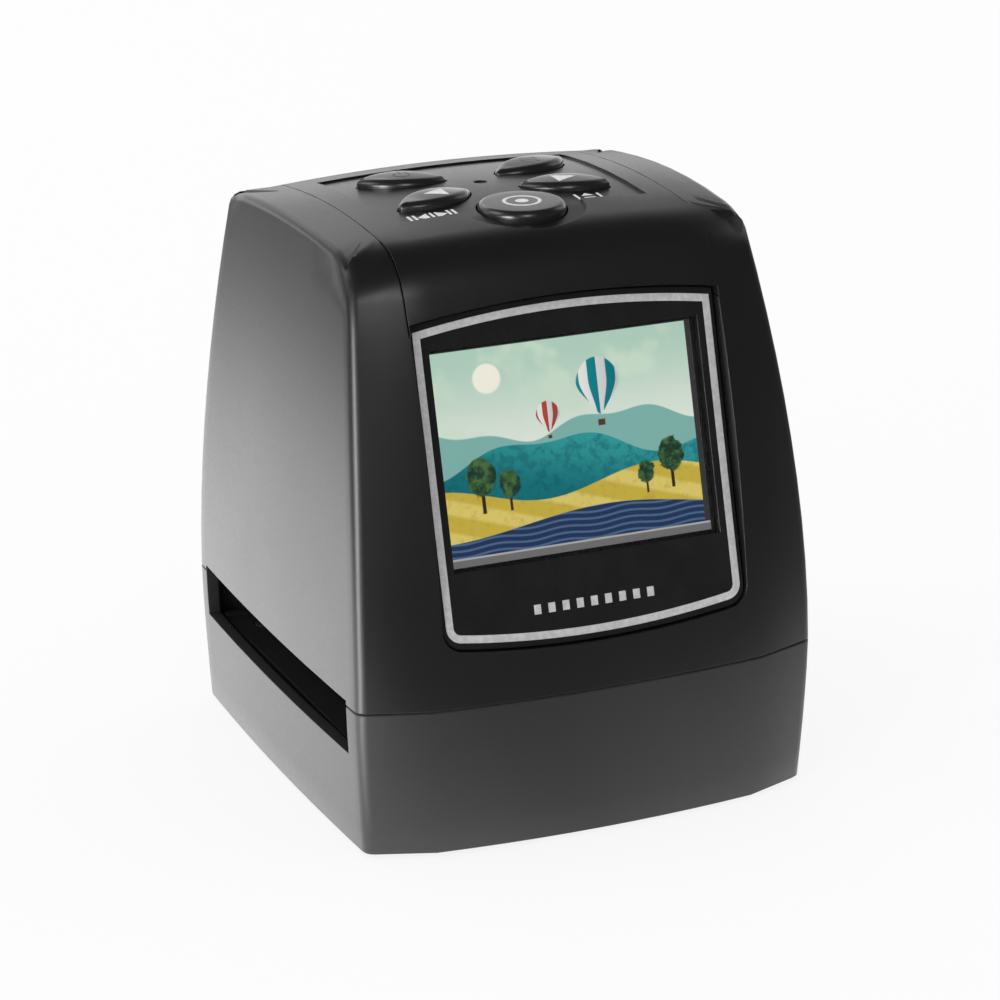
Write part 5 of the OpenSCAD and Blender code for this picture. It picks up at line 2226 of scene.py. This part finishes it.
@dataclass(frozen=True)
class Studio:
    """Camera, floor, lamps and surroundings."""

    azimuth: float = -22.52
    elevation: float = 19.19
    roll: float = -0.83
    distance: float = 721.9
    target: Triple = (0.92, 2.31, 47.56)
    lens: float = 140.79
    floor: float = 4.0
    room_light: float = 0.85
    lamps: tuple[SoftBox, ...] = (
        SoftBox("left_box", (-1.05, 0.3, 0.95), (0.7, 0.7), 1.6),
        SoftBox("back_box", (-0.05, 1.0, 0.66), (0.8, 0.36), 0.9),
        SoftBox("front_left_box", (-1.0, -0.72, 0.32), (0.32, 0.6), 6.0),
        SoftBox("right_box", (1.3, 0.3, 0.7), (0.5, 0.7), 0.6),
    )
    gleams: tuple[Gleam, ...] = (
        Gleam((-0.88, -0.45, 0.12), 0.95, 0.99, 6.0),
        Gleam((-0.13, -0.8, 0.58), 0.97, 0.995, 3.6),
    )

    def set_up(self) -> None:
        """Places the camera, the floor, the lamps and the world."""
        self.place_camera()
        self.lay_floor()
        for lamp in self.lamps:
            lamp.hang()
        self.light_world()
        bpy.context.scene.view_settings.view_transform = "Standard"

    def place_camera(self) -> None:
        """Looks at the object from where the photograph was taken."""
        az, el, roll = (math.radians(a) for a in (self.azimuth, self.elevation, self.roll))
        back = Vector((math.sin(az) * math.cos(el), -math.cos(az) * math.cos(el), math.sin(el)))
        right = (-back).cross(Vector((0, 0, 1))).normalized()
        up = right.cross(-back)
        rolled_right = right * math.cos(roll) + up * math.sin(roll)
        rolled_up = up * math.cos(roll) - right * math.sin(roll)
        camera = add_object("camera", bpy.data.cameras.new("camera"))
        camera.data.lens = self.lens
        camera.data.sensor_width = 36.0
        camera.data.clip_start, camera.data.clip_end = 0.01, 50
        turn = Matrix((rolled_right, rolled_up, back)).transposed().to_4x4()
        place = (Vector(self.target) + back * self.distance) * MM
        camera.matrix_world = Matrix.Translation(place) @ turn
        bpy.context.scene.camera = camera

    def lay_floor(self) -> None:
        """Lays the white floor."""
        half = self.floor * 1000
        outline = [(-half, -half), (half, -half), (half, half), (-half, half)]
        floor = MeshKit().plate(outline, -10, 0).piece("studio_floor", None)
        StudioFloor("studio_white").dress(floor)

    def light_world(self) -> None:
        """White to the eye and behind the object, dim on the viewer's side."""
        world = bpy.data.worlds.new("studio_world")
        bpy.context.scene.world = world
        graph = Graph(world)
        parts = graph.axes(graph.wire("ShaderNodeTexCoord", output="Generated"))
        _, depth, height = parts
        behind = depth.ramp(0.2, 0.7, 0.05, 1.0) * height.ramp(0.0, 0.3, 1.6, 0.45)
        behind = behind * height.ramp(0.4, 0.85, 1.0, 0.06)
        room = sum((gleam.glow(*parts) for gleam in self.gleams), behind)
        seen, glossy = graph.rays()
        level = seen + (1 - seen) * (glossy * room + (1 - glossy) * self.room_light)
        inputs = {"Color": WHITE, "Strength": level}
        graph.close(graph.wire("ShaderNodeBackground", None, inputs))


def main() -> None:
    """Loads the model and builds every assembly."""
    logging.basicConfig(level=logging.INFO, format="%(message)s")
    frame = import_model()
    Studio().set_up()
    kinds = (Casing, DisplayStack, KeyCluster, FilmPath, Optics, Electronics)
    assemblies = [kind(frame) for kind in kinds]
    for assembly in assemblies:
        assembly.build()
    LOG.info("%d pieces made", sum(len(a.made) for a in assemblies))


if __name__ == "__main__":
    main()
